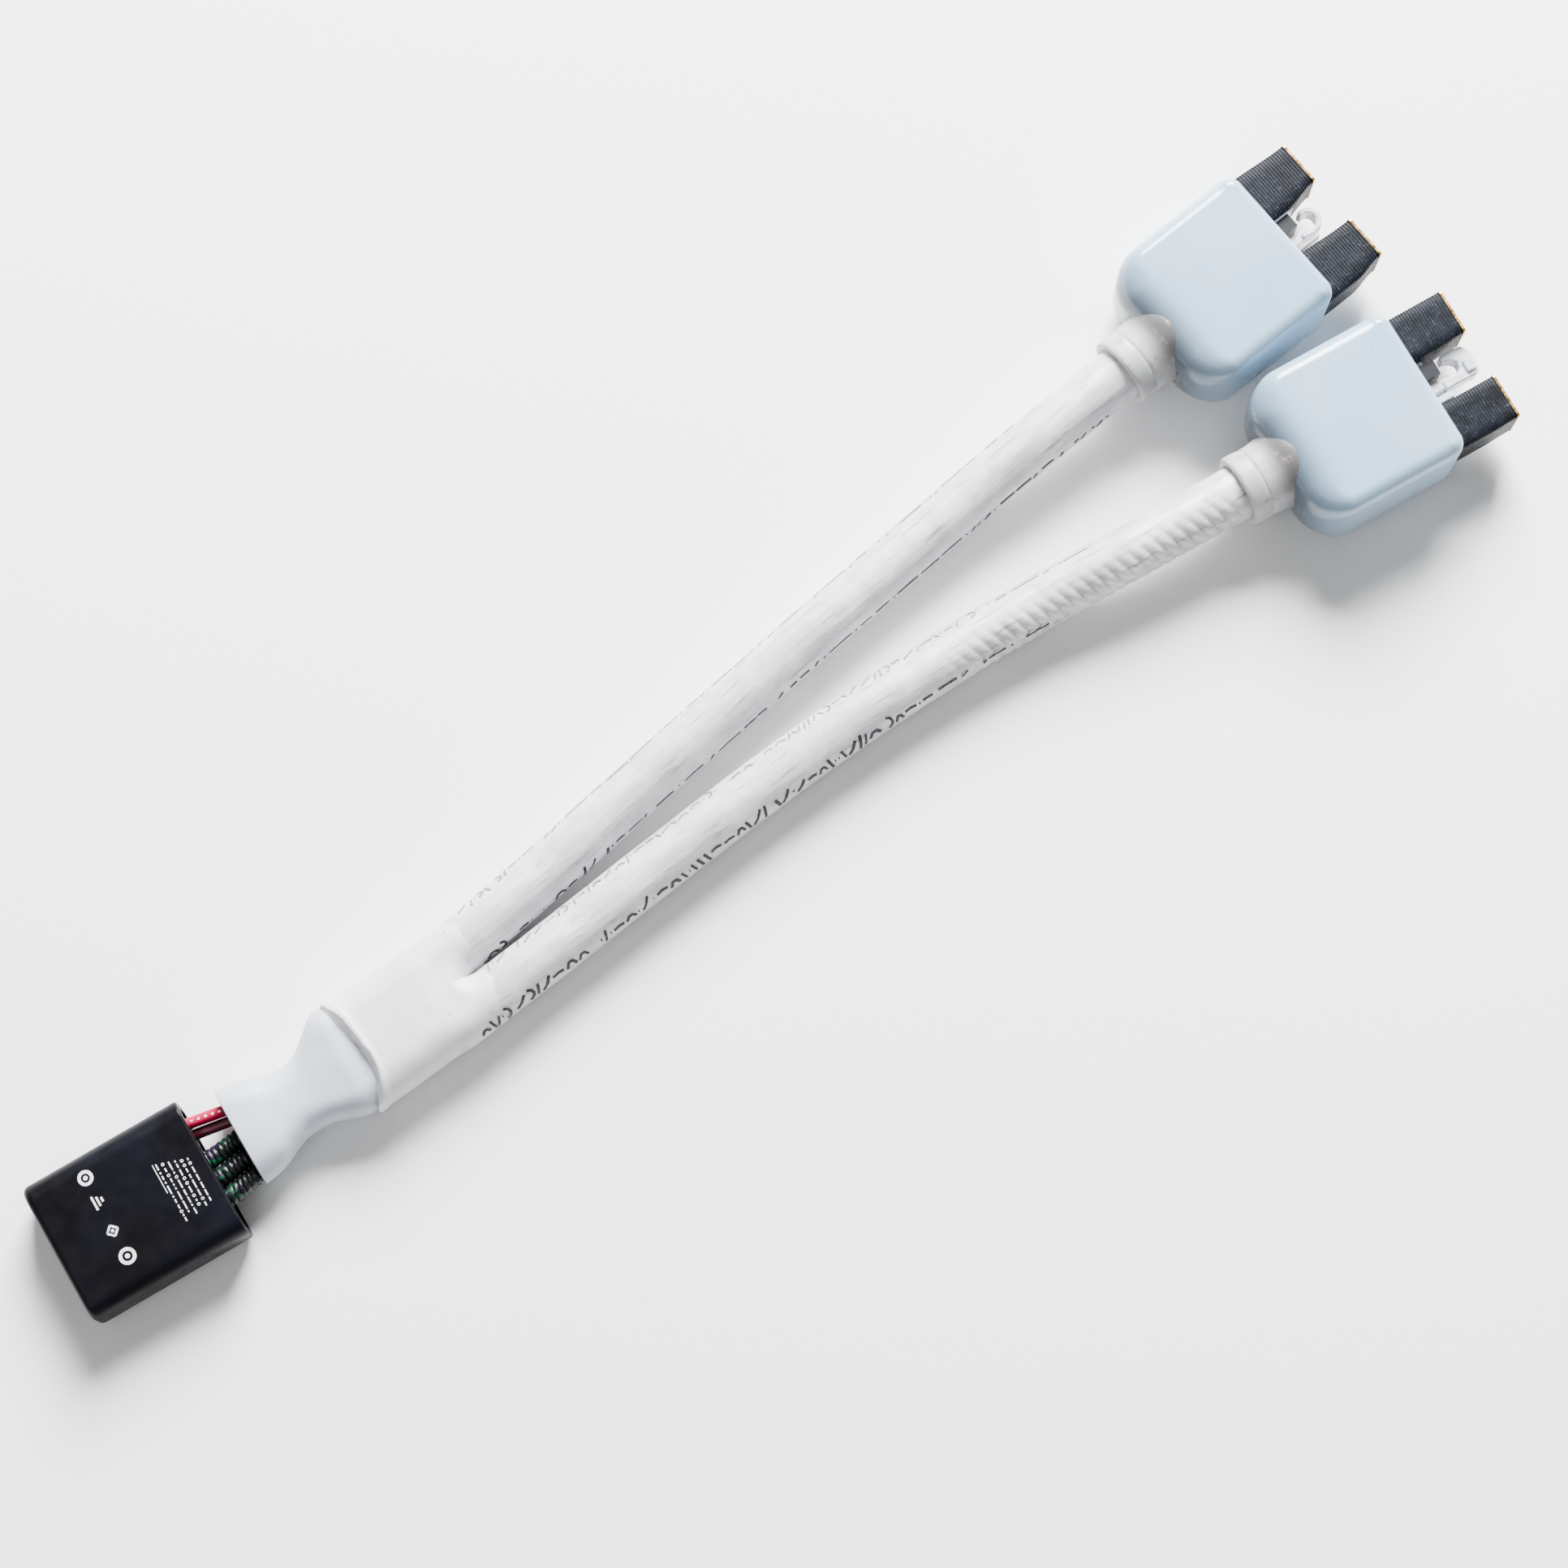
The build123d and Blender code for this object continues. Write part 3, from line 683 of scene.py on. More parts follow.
def make_cable_print(name, line, seed, edge_angle, x_from, x_to, bold_to, ink, size=1.0,
                     cover=0.0):
    """Generic ink marks along one flank: bars, ticks, arcs and dots, no lettering."""
    rng = random.Random(seed)
    parts = []
    s = line.index(x_from) * line.step
    stop = line.index(x_to) * line.step
    bold_stop = line.index(bold_to) * line.step
    while s < stop:
        style = BOLD if s < bold_stop else THIN
        width = rng.uniform(*style["width"]) * size
        shape = MARKS[rng.choice(style["kinds"])]
        long = rng.uniform(*style["long"])
        tall = rng.uniform(*style["tall"]) * size
        centre = edge_angle + rng.uniform(-3, 3)
        path = [(s + long * u, centre + tall * v) for u, v in shape]
        fine = []
        for (s0, a0), (s1, a1) in zip(path, path[1:]):
            fine += [(s0 + (s1 - s0) * t / STROKE_PIECES, a0 + (a1 - a0) * t / STROKE_PIECES)
                     for t in range(STROKE_PIECES)]
        parts.append(stroke_on_cable(line, fine + [path[-1]], width, cover))
        s += long * max(u for u, _ in shape) + rng.uniform(*style["gap"])
        if rng.random() < BREAK_CHANCE:
            s += rng.uniform(*BREAK)
    piece = add_mesh(name, *join(*parts))
    return dress(piece, "cable_white", ink)


# ---- soft covers
# Sections of the tail sleeve: x, middle y, half width, half height, middle z
TAIL = [
    (15.0, 1.70, 6.35, 3.40, 3.80),
    (16.4, 1.80, 6.25, 3.42, 3.80),
    (18.4, 1.90, 5.80, 3.30, 3.80),
    (20.4, 2.05, 4.95, 3.05, 3.75),
    (22.2, 2.15, 4.45, 2.90, 3.75),
    (23.8, 2.20, 4.42, 2.85, 3.75),
    (25.4, 2.45, 4.85, 2.90, 3.80),
    (27.2, 2.90, 5.85, 3.00, 3.90),
    (28.6, 3.25, 6.70, 3.10, 4.00),
    (29.8, 3.35, 7.10, 3.20, 4.05),
    (31.2, 3.40, 7.00, 3.05, 4.10),
    (33.4, 3.45, 6.60, 2.80, 4.10),
]
SLEEVE_WALL = 0.4
SLEEVE_LIP = 0.12
TAIL_STEPS, TAIL_INNER_STEPS = 70, 30


def tail_ring(x, inset=0.0):
    """Flattened section of the sleeve, a little thinner towards its sides."""
    y, w, h, z = smooth_row(TAIL, x)
    corner = (h - inset) * 0.92
    outline = rounded_outline(w - inset, h - inset, corner)
    return [Vector((x, y + u, z + v * (1.03 - 0.14 * (u / w) ** 2))) for u, v in outline]


def make_tail_sleeve():
    """Waisted sleeve, open at its mouth, with a rolled lip."""
    x0, x1 = TAIL[0][0], TAIL[-1][0]
    outer = [tail_ring(x0 + (x1 - x0) * i / TAIL_STEPS) for i in range(TAIL_STEPS + 1)]
    lip = [tail_ring(x0 - SLEEVE_LIP, inset) for inset in (SLEEVE_LIP, 0.3)]
    inner = [tail_ring(x0 + (x1 - x0) * i / TAIL_INNER_STEPS, SLEEVE_WALL)
             for i in range(TAIL_INNER_STEPS + 1)]
    rings = list(reversed(inner)) + list(reversed(lip)) + outer
    for ring in rings:
        for p in ring:
            crease = 0.10 * wobble(p.x, p.y, p.z, 0.35, 3.0)
            p.z = max(p.z + crease, 0.05)
            p.y += 0.06 * wobble(p.x, p.y, p.z, 0.5, 8.0)
    piece = add_mesh("tail_sleeve_skin", *skin(rings, closed=True))
    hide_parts("tail_sleeve")
    return dress(piece, "sleeve_white")


# Sections of the boot's bar: x, middle y, half width, half height, corner radius
BOOT = [
    (BOOT_X0, 3.30, 7.30, 4.10, 3.5),
    (36.0, 3.62, 7.22, 4.08, 3.7),
    (40.5, 4.02, 7.16, 4.05, 3.8),
    (44.5, 4.42, 7.16, 4.02, 3.85),
]
BOOT_MID_Z = 4.10
BOOT_SKIN_END = 50.4
BOOT_COVER, BOOT_TUCK, TUCK_LONG = 0.12, 0.10, 1.2
THINS_FROM = 44.0
LOBES_FROM, LOBES_LONG = 42.0, 3.5
CROTCH_X, CROTCH_LONG = 45.6, 3.4
PAIR_FROM = 43.0          # nearer the lip, the cables' gap stays as it is here
BEAD, BEAD_X, BEAD_LONG = 0.2, 0.6, 0.7
LIP = [(1.7, -2.4), (1.35, -1.85), (1.0, -1.3), (0.7, -0.85), (0.4, -0.45), (0.16, -0.15)]
SCOOP_DEPTH, SCOOP_FADE = 2.2, 6.0
BOOT_STEPS = 90
BOOT_INNER, BOOT_INNER_LONG, BOOT_INNER_STEPS = 2.1, 4, 8


def cable_pair(x):
    """Centres of both cables at a place along X."""
    return UPPER.points[UPPER.index(x)], LOWER.points[LOWER.index(x)]


def boot_ring(x):
    """Section of the boot: a rounded bar that parts into two lobes past the crotch."""
    ring = []
    upper, lower = cable_pair(max(x, PAIR_FROM))
    across = upper - lower
    gap = across.length / 2
    across = Vector((0, across.y, 0)).normalized()
    part = ease((x - CROTCH_X) / CROTCH_LONG)
    thin = ease((x - THINS_FROM) / (BOOT_SKIN_END - THINS_FROM))
    tuck = ease((x - BOOT_SKIN_END + TUCK_LONG) / TUCK_LONG)
    lobe = CABLE_R + BOOT_COVER * (1 - thin) - BOOT_TUCK * tuck
    centre = (upper + lower) / 2
    y, w, h, corner = smooth_row(BOOT, x)
    bar = rounded_outline(w, h, corner, per_corner=12, per_side=12)
    lobed = ease((x - LOBES_FROM) / LOBES_LONG)
    for u, v in bar:
        solid = Vector((x, y + u, BOOT_MID_Z + v * (1 - 0.12 * (u / w) ** 2)))
        side = max(min(u / w, 1), -1) * (gap + lobe)
        reach = abs(side) - gap
        height = math.sqrt(max(lobe ** 2 - max(reach, 0) ** 2, 0))
        if reach < 0:
            groove = math.sqrt(max(lobe ** 2 - min(-reach, gap) ** 2, 0))
            height += (groove - height) * part
        lobes = centre + across * side + Vector((0, 0, math.copysign(height, v)))
        lobes.x = x
        ring.append(solid.lerp(lobes, lobed))
    return ring


def make_boot():
    """Y boot with a scooped, slightly rolled lip and a web that blends over both cables."""
    xs = [BOOT_X0 + (BOOT_SKIN_END - BOOT_X0) * i / BOOT_STEPS for i in range(BOOT_STEPS + 1)]
    outer = [boot_ring(x) for x in xs]
    half = BOOT[0][2]

    def scoop(p, x):
        y = (p.y - BOOT[0][1]) / half
        depth = SCOOP_DEPTH * max(1 - abs(y) ** 3.2, 0.0) * (1 - 0.36 * y)
        depth += 0.18 * wobble(p.y, p.z, 0, 0.8, 40.0)
        return depth * (1 - min((x - BOOT_X0) / SCOOP_FADE, 1.0)) ** 1.5

    def shrunk(ring, inset):
        centre = sum(ring, Vector()) / len(ring)
        out = []
        for p in ring:
            d = p - centre
            d.x = 0
            out.append(p - d * min(inset / max(d.length, 1e-6), 0.9))
        return out

    lip = [shrunk(outer[0], inset) for inset, _ in LIP]
    for ring, (_, shift) in zip(lip, LIP):
        for p in ring:
            p.x += shift
    for ring, x in zip(outer, xs):
        bead = BEAD * math.exp(-((x - BOOT_X0 - BEAD_X) / BEAD_LONG) ** 2)
        ring[:] = shrunk(ring, -bead)
    inner = [shrunk(boot_ring(BOOT_X0 + BOOT_INNER_LONG * i / BOOT_INNER_STEPS), BOOT_INNER)
             for i in range(BOOT_INNER_STEPS + 1)]
    rings = list(reversed(inner)) + lip + outer
    for ring in rings:
        for p in ring:
            base_x = p.x
            p.x += scoop(p, base_x)
            p.x += 0.9 * wobble(p.y, p.z, 0, 0.45, 61.0) * ease((base_x - BOOT_SKIN_END + 3) / 3)
            p.z += 0.05 * wobble(p.x, p.y, p.z, 0.4, 21.0)
            p.z = max(p.z, 0.02)
    piece = add_mesh("y_boot_skin", *skin(rings, last_cap=True))
    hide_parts("y_boot")
    return dress(piece, "sleeve_white", BOOT_WHITE)


# ---- plugs
FRONT_R, BACK_R = 2.1, 5.4
FLANK_EDGE, FACE_EDGE, BACK_EDGE = 1.9, 1.1, 4.2
CROWN = 0.25
BODY_MID = (BODY_BACK + PLUG_LENGTH) / 2
SIDE_PULL = 0.12          # how far the sides lean in at the top and bottom
CORNER_STEPS, SIDE_STEPS, EDGE_STEPS = 24, 12, 14
BACK_SHADE_LONG, COLLAR_SHADE_WIDE = 7.2, 3.4


def plan_outline():
    """Plug outline seen from above, local x and y, with its outward normals."""
    points = []
    corners = [(PLUG_LENGTH - FRONT_R, BODY_HALF_W - FRONT_R, FRONT_R, 0),
               (BODY_BACK + BACK_R, BODY_HALF_W - BACK_R, BACK_R, 90),
               (BODY_BACK + BACK_R, BACK_R - BODY_HALF_W, BACK_R, 180),
               (PLUG_LENGTH - FRONT_R, FRONT_R - BODY_HALF_W, FRONT_R, 270)]
    for k, (cx, cy, r, start) in enumerate(corners):
        for i in range(CORNER_STEPS + 1):
            a = math.radians(start + 90 * i / CORNER_STEPS)
            points.append((cx + r * math.cos(a), cy + r * math.sin(a), math.cos(a), math.sin(a)))
        nx, ny, nr, nstart = corners[(k + 1) % 4]
        a = math.radians(nstart)
        end = (nx + nr * math.cos(a), ny + nr * math.sin(a))
        last = points[-1]
        for i in range(1, SIDE_STEPS):
            t = i / SIDE_STEPS
            points.append((last[0] + (end[0] - last[0]) * t, last[1] + (end[1] - last[1]) * t,
                           last[2], last[3]))
    return points


def edge_radius(nx):
    """Edge rounding: small at the face, medium at the flanks, large at the back."""
    if nx > 0:
        return FLANK_EDGE - (FLANK_EDGE - FACE_EDGE) * nx
    return FLANK_EDGE + (BACK_EDGE - FLANK_EDGE) * ease(-nx)


def crown(x, y):
    """Gentle lift of the top and bottom faces, highest in the middle."""
    along = 1 - ((x - BODY_MID) / (PLUG_LENGTH - BODY_MID)) ** 2
    across = 1 - (y / BODY_HALF_W) ** 2
    return CROWN * max(along, 0) * max(across, 0)


def back_shade(x, y, z):
    """Darkening of the shell's back, deepest close round the collar."""
    ring = math.exp(-(max(math.hypot(y, z) - COLLAR_BASE_R, 0) / COLLAR_SHADE_WIDE) ** 2)
    low = 0.5 - 0.5 * z / BODY_HALF_H
    back = ease((BODY_BACK + BACK_SHADE_LONG - x) / BACK_SHADE_LONG)
    return back * (0.35 + 0.25 * low + 0.4 * ring)


def make_plug_body(plug):
    """Moulded shell: every edge rounded, top and bottom slightly crowned."""
    outline = plan_outline()
    half_h = BODY_HALF_H - CROWN
    rings = []
    arcs = [math.radians(90 * i / EDGE_STEPS) for i in range(EDGE_STEPS + 1)]
    for sign, order in ((-1, reversed(arcs)), (1, arcs)):
        for a in order:
            ring = []
            for x, y, nx, ny in outline:
                r = edge_radius(nx)
                inset = r * (1 - math.cos(a))
                z = sign * (half_h - r * (1 - math.sin(a)))
                pull = SIDE_PULL * (1 - math.cos(math.pi / 2 * z / half_h))
                px, py = x - nx * (inset + pull), y - ny * (inset + pull)
                ring.append((px, py, z * (1 + crown(px, py) / half_h)))
            rings.append(ring)

    def inward(ring, keep, sign):
        shrunk = [(BODY_MID + (x - BODY_MID) * keep, y * keep) for x, y, _ in ring]
        return [(x, y, sign * (half_h + crown(x, y))) for x, y in shrunk]

    keeps = (0.985, 0.95, 0.88, 0.76, 0.58, 0.36, 0.15, 0.03)
    bottom = [inward(rings[0], keep, -1) for keep in reversed(keeps)]
    top = [inward(rings[-1], keep, 1) for keep in keeps]
    rows = bottom + rings + top
    placed = [plug.place(ring) for ring in rows]
    piece = add_mesh(f"plug_shell_{plug.tag}", *capped(placed),
                     sharp=70)
    paint(piece, "shade", "FLOAT", [back_shade(*p) for ring in rows for p in ring])
    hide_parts(f"plug_body_{plug.tag}")
    return dress(piece, "plug_white")


PRONG_Y, PRONG_TIP_HALF, PRONG_HALF_H = 6.3, 3.05, 3.1
PRONG_ROOT, PRONG_TIP = 22.0, 34.6
PRONG_ROOT_HALF = {"a": 3.7, "b": 3.2}
PRONG_SLIM = 0.2          # the high-y flank starts this much nearer the middle
PRONG_CORNER, PRONG_STEP = 0.45, 0.055
LOW_TAPER_X, LOW_TAPER_LONG = 30.2, 4.0
HIGH_TAPER_X, HIGH_TAPER_LONG = 26.0, 8.0
RIB_PITCH, RIB_DEPTH = 0.38, 0.05
SLOT_W, SLOT_H, SLOT_DEPTH = 2.2, 1.1, 5.0


def make_prong(plug, name, centre_y):
    """Ribbed prong: its flanks taper to the tip, where the contact slot opens."""
    root_half = PRONG_ROOT_HALF[plug.tag]
    slim_half = root_half - PRONG_SLIM
    count = int((PRONG_TIP - PRONG_ROOT) / PRONG_STEP)
    rings = []
    for i in range(count + 1):
        x = PRONG_ROOT + (PRONG_TIP - PRONG_ROOT) * i / count
        low_taper = ease((x - LOW_TAPER_X) / LOW_TAPER_LONG)
        high_taper = ease((x - HIGH_TAPER_X) / HIGH_TAPER_LONG)
        low = root_half - (root_half - PRONG_TIP_HALF) * low_taper
        high = slim_half - (slim_half - PRONG_TIP_HALF) * high_taper
        rib = RIB_DEPTH * (0.5 - 0.5 * math.cos(2 * math.pi * x / RIB_PITCH))
        rib *= ease((PRONG_TIP - x) / 0.5)
        inset = rib + 0.25 * (1 - ease((PRONG_TIP - x) / 0.3 + 0.3))
        ring = []
        for u, v in rounded_outline(1, PRONG_HALF_H - inset, PRONG_CORNER, 6, 10):
            y = u * (high - inset) if u > 0 else u * (low - inset)
            ring.append((x, centre_y + y, v))
        rings.append(ring)
    slot = [(centre_y + u, v) for u, v in rounded_outline(SLOT_W, SLOT_H, 0.3, 6, 10)]
    rings.append([(PRONG_TIP, y, z) for y, z in slot])
    rings.append([(PRONG_TIP - SLOT_DEPTH, y, z) for y, z in slot])
    placed = [plug.place(ring) for ring in rings]
    piece = add_mesh(f"{name}_shell_{plug.tag}", *capped(placed),
                     sharp=50)
    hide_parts(f"{name}_{plug.tag}")
    return dress(piece, "prong_dark")


def prism(plug, name, slot, solids, bevel, body="module"):
    """Bevelled upright blocks from plan outlines: (outline, low, high) each."""
    bm = bmesh.new()
    for outline, low, high in solids:
        bottom = [bm.verts.new(plug.at(x, y, low) * MM) for x, y in outline]
        top = [bm.verts.new(plug.at(x, y, high) * MM) for x, y in outline]
        bm.faces.new(bottom)
        bm.faces.new(top)
        for i in range(len(outline)):
            k = (i + 1) % len(outline)
            bm.faces.new((bottom[i], bottom[k], top[k], top[i]))
    bmesh.ops.recalc_face_normals(bm, faces=bm.faces)
    bmesh.ops.bevel(bm, geom=bm.edges[:], offset=bevel * MM, segments=3, affect="EDGES",
                    clamp_overlap=True)
    mesh = bpy.data.meshes.new(name)
    bm.to_mesh(mesh)
    bm.free()
    return dress(finish_piece(name, mesh, body, 40), slot)


def half_across(points, k, width):
    """Half of a stroke's width, square to its line of points at one of them."""
    a, b = Vector(points[max(k - 1, 0)]), Vector(points[min(k + 1, len(points) - 1)])
    d = (b - a).normalized()
    return Vector((-d.y, d.x)) * width / 2


def strip(points, width):
    """Plan outline of a strip of a width that follows a line of points."""
    left, right = [], []
    for k, p in enumerate(points):
        n = half_across(points, k, width)
        left.append(tuple(Vector(p) + n))
        right.append(tuple(Vector(p) - n))
    return left + right[::-1]


def rectangle(x0, x1, y0, y1):
    return [(x0, y0), (x1, y0), (x1, y1), (x0, y1)]


ARM = (rectangle(18.2, 30.0, -1.4, -0.1), -0.75, 0.75)
CURL = [(29.2, -0.9), (30.6, -1.25), (31.6, -1.2), (32.3, -0.6), (32.5, 0.3), (32.2, 1.05),
        (31.5, 1.5), (30.7, 1.45)]
HOOK = [(29.2, -1.6), (33.6, -1.7), (34.25, -1.3), (34.3, 1.2), (33.7, 2.3), (32.3, 2.6),
        (30.6, 2.5), (30.4, 1.7), (31.6, 1.4), (32.2, 0.7), (32.0, -0.1), (31.2, -0.4),
        (29.2, -0.4)]


def make_latches():
    """Translucent lever noses: a thin curl on one plug, a broad hook on the other."""
    nose_a = prism(PLUG_A, "latch_nose_a", "latch_clear",
                   [ARM, (strip(CURL, 0.7), -1.25, 1.25)], 0.12, "latch_a")
    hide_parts("latch_lever_a")
    cleat = rectangle(32.6, 33.9, -1.1, 0.6)
    nose_b = prism(PLUG_B, "latch_nose_b", "latch_clear",
                   [ARM, (HOOK, -1.25, 1.05), (cleat, 0.9, 1.45)], 0.14, "latch_b")
    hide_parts("latch_lever_b")


# Fixed guides: plug, name, slot, end x, y from and to, z from and to, bevel
GUIDE_X = 26.0
GUIDES = [
    (PLUG_A, "guide_rail_a", "latch_clear", 30.3, 2.32, 2.56, -1.9, 2.2, 0.05),
    (PLUG_A, "guide_sliver_a", "pin_steel", 30.6, -2.45, -2.25, -0.6, 2.0, 0.04),
    (PLUG_B, "guide_rail_b", "carrier_grey", 29.6, -2.9, -2.0, -1.0, 1.2, 0.12),
    (PLUG_B, "guide_block_b", "latch_clear", 28.2, 2.4, 2.95, -1.2, 1.5, 0.08),
]


def make_guides():
    """Small fixed guides between the prongs."""
    for plug, name, slot, x_end, y0, y1, low, high, bevel in GUIDES:
        prism(plug, name, slot, [(rectangle(GUIDE_X, x_end, y0, y1), low, high)], bevel)


# Collar profile as (x, radius), from inside the mouth to inside the shell
COLLAR = [(0.35, CABLE_R - 0.1), (0.08, CABLE_R + 0.25), (0.0, COLLAR_R - 0.5),
          (0.1, COLLAR_R - 0.18), (0.4, COLLAR_R - 0.02), (1.0, COLLAR_R + 0.02),
          (2.2, COLLAR_R - 0.02), (2.5, COLLAR_R - 0.12), (2.8, COLLAR_R - 0.02),
          (3.4, COLLAR_R + 0.02), (4.2, COLLAR_R + 0.10), (5.0, COLLAR_R + 0.28),
          (5.8, COLLAR_R + 0.60), (6.8, COLLAR_R + 0.98), (7.8, COLLAR_R + 1.1),
          (COLLAR_END, COLLAR_BASE_R)]
COLLAR_AROUND = 72
COLLAR_SHADE_X, COLLAR_SHADE_LONG = 3.0, 3.2


def make_collar(plug):
    """Strain relief: rolled mouth, faint ridge, and a base that flows into the shell."""
    rings = []
    rows = [smooth_row([(i, *p) for i, p in enumerate(COLLAR)], k / 4)
            for k in range(4 * len(COLLAR) - 3)]
    for x, r in rows:
        ring = []
        for c, s in circle(COLLAR_AROUND):
            radius = r + 0.04 * wobble(x, c * 4, s * 4, 0.5, 31)
            ring.append((x, radius * c, radius * s))
        rings.append(plug.place(ring))
    piece = add_mesh(f"collar_skin_{plug.tag}", *capped(rings),
                     sharp=50)
    shades = [ease((x - COLLAR_SHADE_X) / COLLAR_SHADE_LONG) for x, _ in rows]
    paint(piece, "shade", "FLOAT", [shade for shade in shades for _ in range(COLLAR_AROUND)])
    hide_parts(f"cable_collar_{plug.tag}")
    return dress(piece, "collar_white")


# ---- printing on the case
PRINT_LIFT, PRINT_SINK = 0.03, 0.005
# Ring marks: x, y, outer and inner radius
RING_MARKS = [(-3.0, 6.1, 0.95, 0.55), (-3.0, 6.1, 0.28, 0.02),
              (-3.1, -4.5, 1.05, 0.62), (-3.1, -4.5, 0.3, 0.02)]
BARS_X, BARS_Y, BARS_PITCH = -3.5, 2.9, 0.5
BAR_REACHES = (0.9, 0.6, 0.3)
DIAMOND = [(-3.9, -1.0), (-3.2, -0.3), (-2.5, -1.0), (-3.2, -1.7)]
SYMBOL_STROKE = 0.26
DASH_ROWS, DASH_X, DASH_PITCH, DASH_STROKE = 6, 4.9, 0.72, 0.17
RULE, RULE_STROKE = [(4.5, 3.4), (4.5, -0.4)], 0.1


def flat_ring(cx, cy, r_out, r_in, z, count=48):
    """Printed ring."""
    rings = []
    for r, lift in ((r_in, 0), (r_in, PRINT_LIFT), (r_out, PRINT_LIFT), (r_out, 0)):
        rings.append([Vector((cx + r * c, cy + r * s, z + lift)) for c, s in circle(count)])
    return skin(rings, closed=True)


def flat_stroke(points, width, z):
    """Printed stroke through (x, y) points with square ends."""
    rings = []
    for k, p in enumerate(points):
        n = half_across(points, k, width)
        p = Vector(p)
        rings.append([Vector((*(p + n), z)), Vector((*(p + n), z + PRINT_LIFT)),
                      Vector((*(p - n), z + PRINT_LIFT)), Vector((*(p - n), z))])
    return capped(rings)


def make_case_print():
    """Generic marks: two ring marks, two plain symbols and a block of dashes."""
    z = node_box("case_sleeve")[1].z - PRINT_SINK
    parts = [flat_ring(*mark, z) for mark in RING_MARKS]
    for row, reach in enumerate(BAR_REACHES):
        x = BARS_X + BARS_PITCH * row
        parts.append(flat_stroke([(x, BARS_Y - reach), (x, BARS_Y + reach)], SYMBOL_STROKE, z))
    for a, b in zip(DIAMOND, DIAMOND[1:] + DIAMOND[:1]):
        parts.append(flat_stroke([a, b], SYMBOL_STROKE, z))
    parts.append(flat_ring(-3.2, -1.0, 0.22, 0.02, z, 20))
    rng = random.Random(5)
    for row in range(DASH_ROWS):
        x = DASH_X + DASH_PITCH * row
        y = 3.3 - 0.25 * row
        stop = -4.0 + rng.uniform(-0.6, 0.4) + (0.8 if row == DASH_ROWS - 1 else 0)
        while y > stop:
            long = rng.choice((0.25, 0.5, 0.8, 1.1))
            if rng.random() < 0.2:
                parts.append(flat_ring(x, y - 0.2, 0.2, 0.1, z, 20))
                long = 0.4
            else:
                parts.append(flat_stroke([(x, y), (x, y - long)], DASH_STROKE, z))
            y -= long + rng.uniform(0.18, 0.3)
    parts.append(flat_stroke(RULE, RULE_STROKE, z))
    piece = add_mesh("case_print", *join(*parts), sharp=None)
    return dress(piece, "case_black", PRINT)


# ---- leads
WRAP_X0, WRAP_X1 = 10.0, 15.6
# Each wrap's y at the case and at the tail sleeve
WRAP_PATHS = {"spiral_wrap_a": (1.20, 1.75), "spiral_wrap_b": (-1.35, -0.62),
              "spiral_wrap_c": (-3.90, -2.96)}
WRAP_RUN = (9.8, 16.4)    # the leads shift sideways between these
WRAP_Z, WRAP_R = 3.9, 1.05
WRAP_PITCH, WRAP_RIB = 0.7, 0.2
WRAP_STEPS, WRAP_AROUND = 112, 40


def make_wrap(node, seed):
    """Uneven ribbed wrap round one lead."""
    y_case, y_tail = WRAP_PATHS[node]
    rings = []
    for i in range(WRAP_STEPS + 1):
        x = WRAP_X0 + (WRAP_X1 - WRAP_X0) * i / WRAP_STEPS
        y = y_case + (y_tail - y_case) * ease((x - WRAP_RUN[0]) / (WRAP_RUN[1] - WRAP_RUN[0]))
        ring = []
        for c, s in circle(WRAP_AROUND):
            lean = 0.15 * s + 0.4 * wobble(x, s, c, 0.7, seed)
            rib = abs(math.sin(math.pi * (x / WRAP_PITCH + lean)))
            r = WRAP_R + WRAP_RIB * rib ** 0.5
            r += 0.04 * wobble(x, s * 3, 0, 2.0, seed + 5)
            r *= 1 - 0.12 * (1 - ease((x - WRAP_X0) / 0.25))
            ring.append(Vector((x, y + r * c, WRAP_Z + r * s)))
        rings.append(ring)
    piece = add_mesh(f"{node}_skin", *capped(rings), sharp=70)
    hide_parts(node)
    return dress(piece, "wrap_black")


LEAD_R, LEAD_Z = 0.72, 4.45
LEAD_X0, LEAD_Y0, LEAD_LEAN = 9.8, 6.42, -0.2
DOTS, DOT_X0, DOT_PITCH = 5, 10.9, 0.85
DOT_HALF_LONG, DOT_HALF_WIDE, DOT_HALF_THICK = 0.2, 0.15, 0.02
DOT_LIFT, DOT_AROUND = 0.002, 16


def make_lead_dots():
    """Row of pale oval dots along the top of the bright red lead."""
    parts = []
    for k in range(DOTS):
        x = DOT_X0 + DOT_PITCH * k
        y = LEAD_Y0 + LEAD_LEAN * (x - LEAD_X0)
        ring_low, ring_high = [], []
        for c, s in circle(DOT_AROUND):
            u, v = DOT_HALF_LONG * c, DOT_HALF_WIDE * s
            z = LEAD_Z + DOT_LIFT + math.sqrt(LEAD_R ** 2 - v * v)
            ring_low.append(Vector((x + u, y + v, z - DOT_HALF_THICK)))
            ring_high.append(Vector((x + u, y + v, z + DOT_HALF_THICK)))
        parts.append(capped([ring_low, ring_high]))
    piece = add_mesh("lead_dots", *join(*parts))
    return dress(piece, "lead_red", PRINT)


# ---- floor and light
WORLD_STRENGTH = 0.32
KEY_AT, KEY_SIZE, KEY_POWER = (0.50, 0.58, 0.5), 0.45, 58
FILL_AT, FILL_SIZE, FILL_POWER = (-0.4, -0.2, 0.8), 0.6, 2
LIGHTS_LOOK_AT = (0.09, 0.01, 0.0)
FLOOR_TONE = 0.95
FLOOR_HALF, FLOOR_Z = 8.0, -0.0002


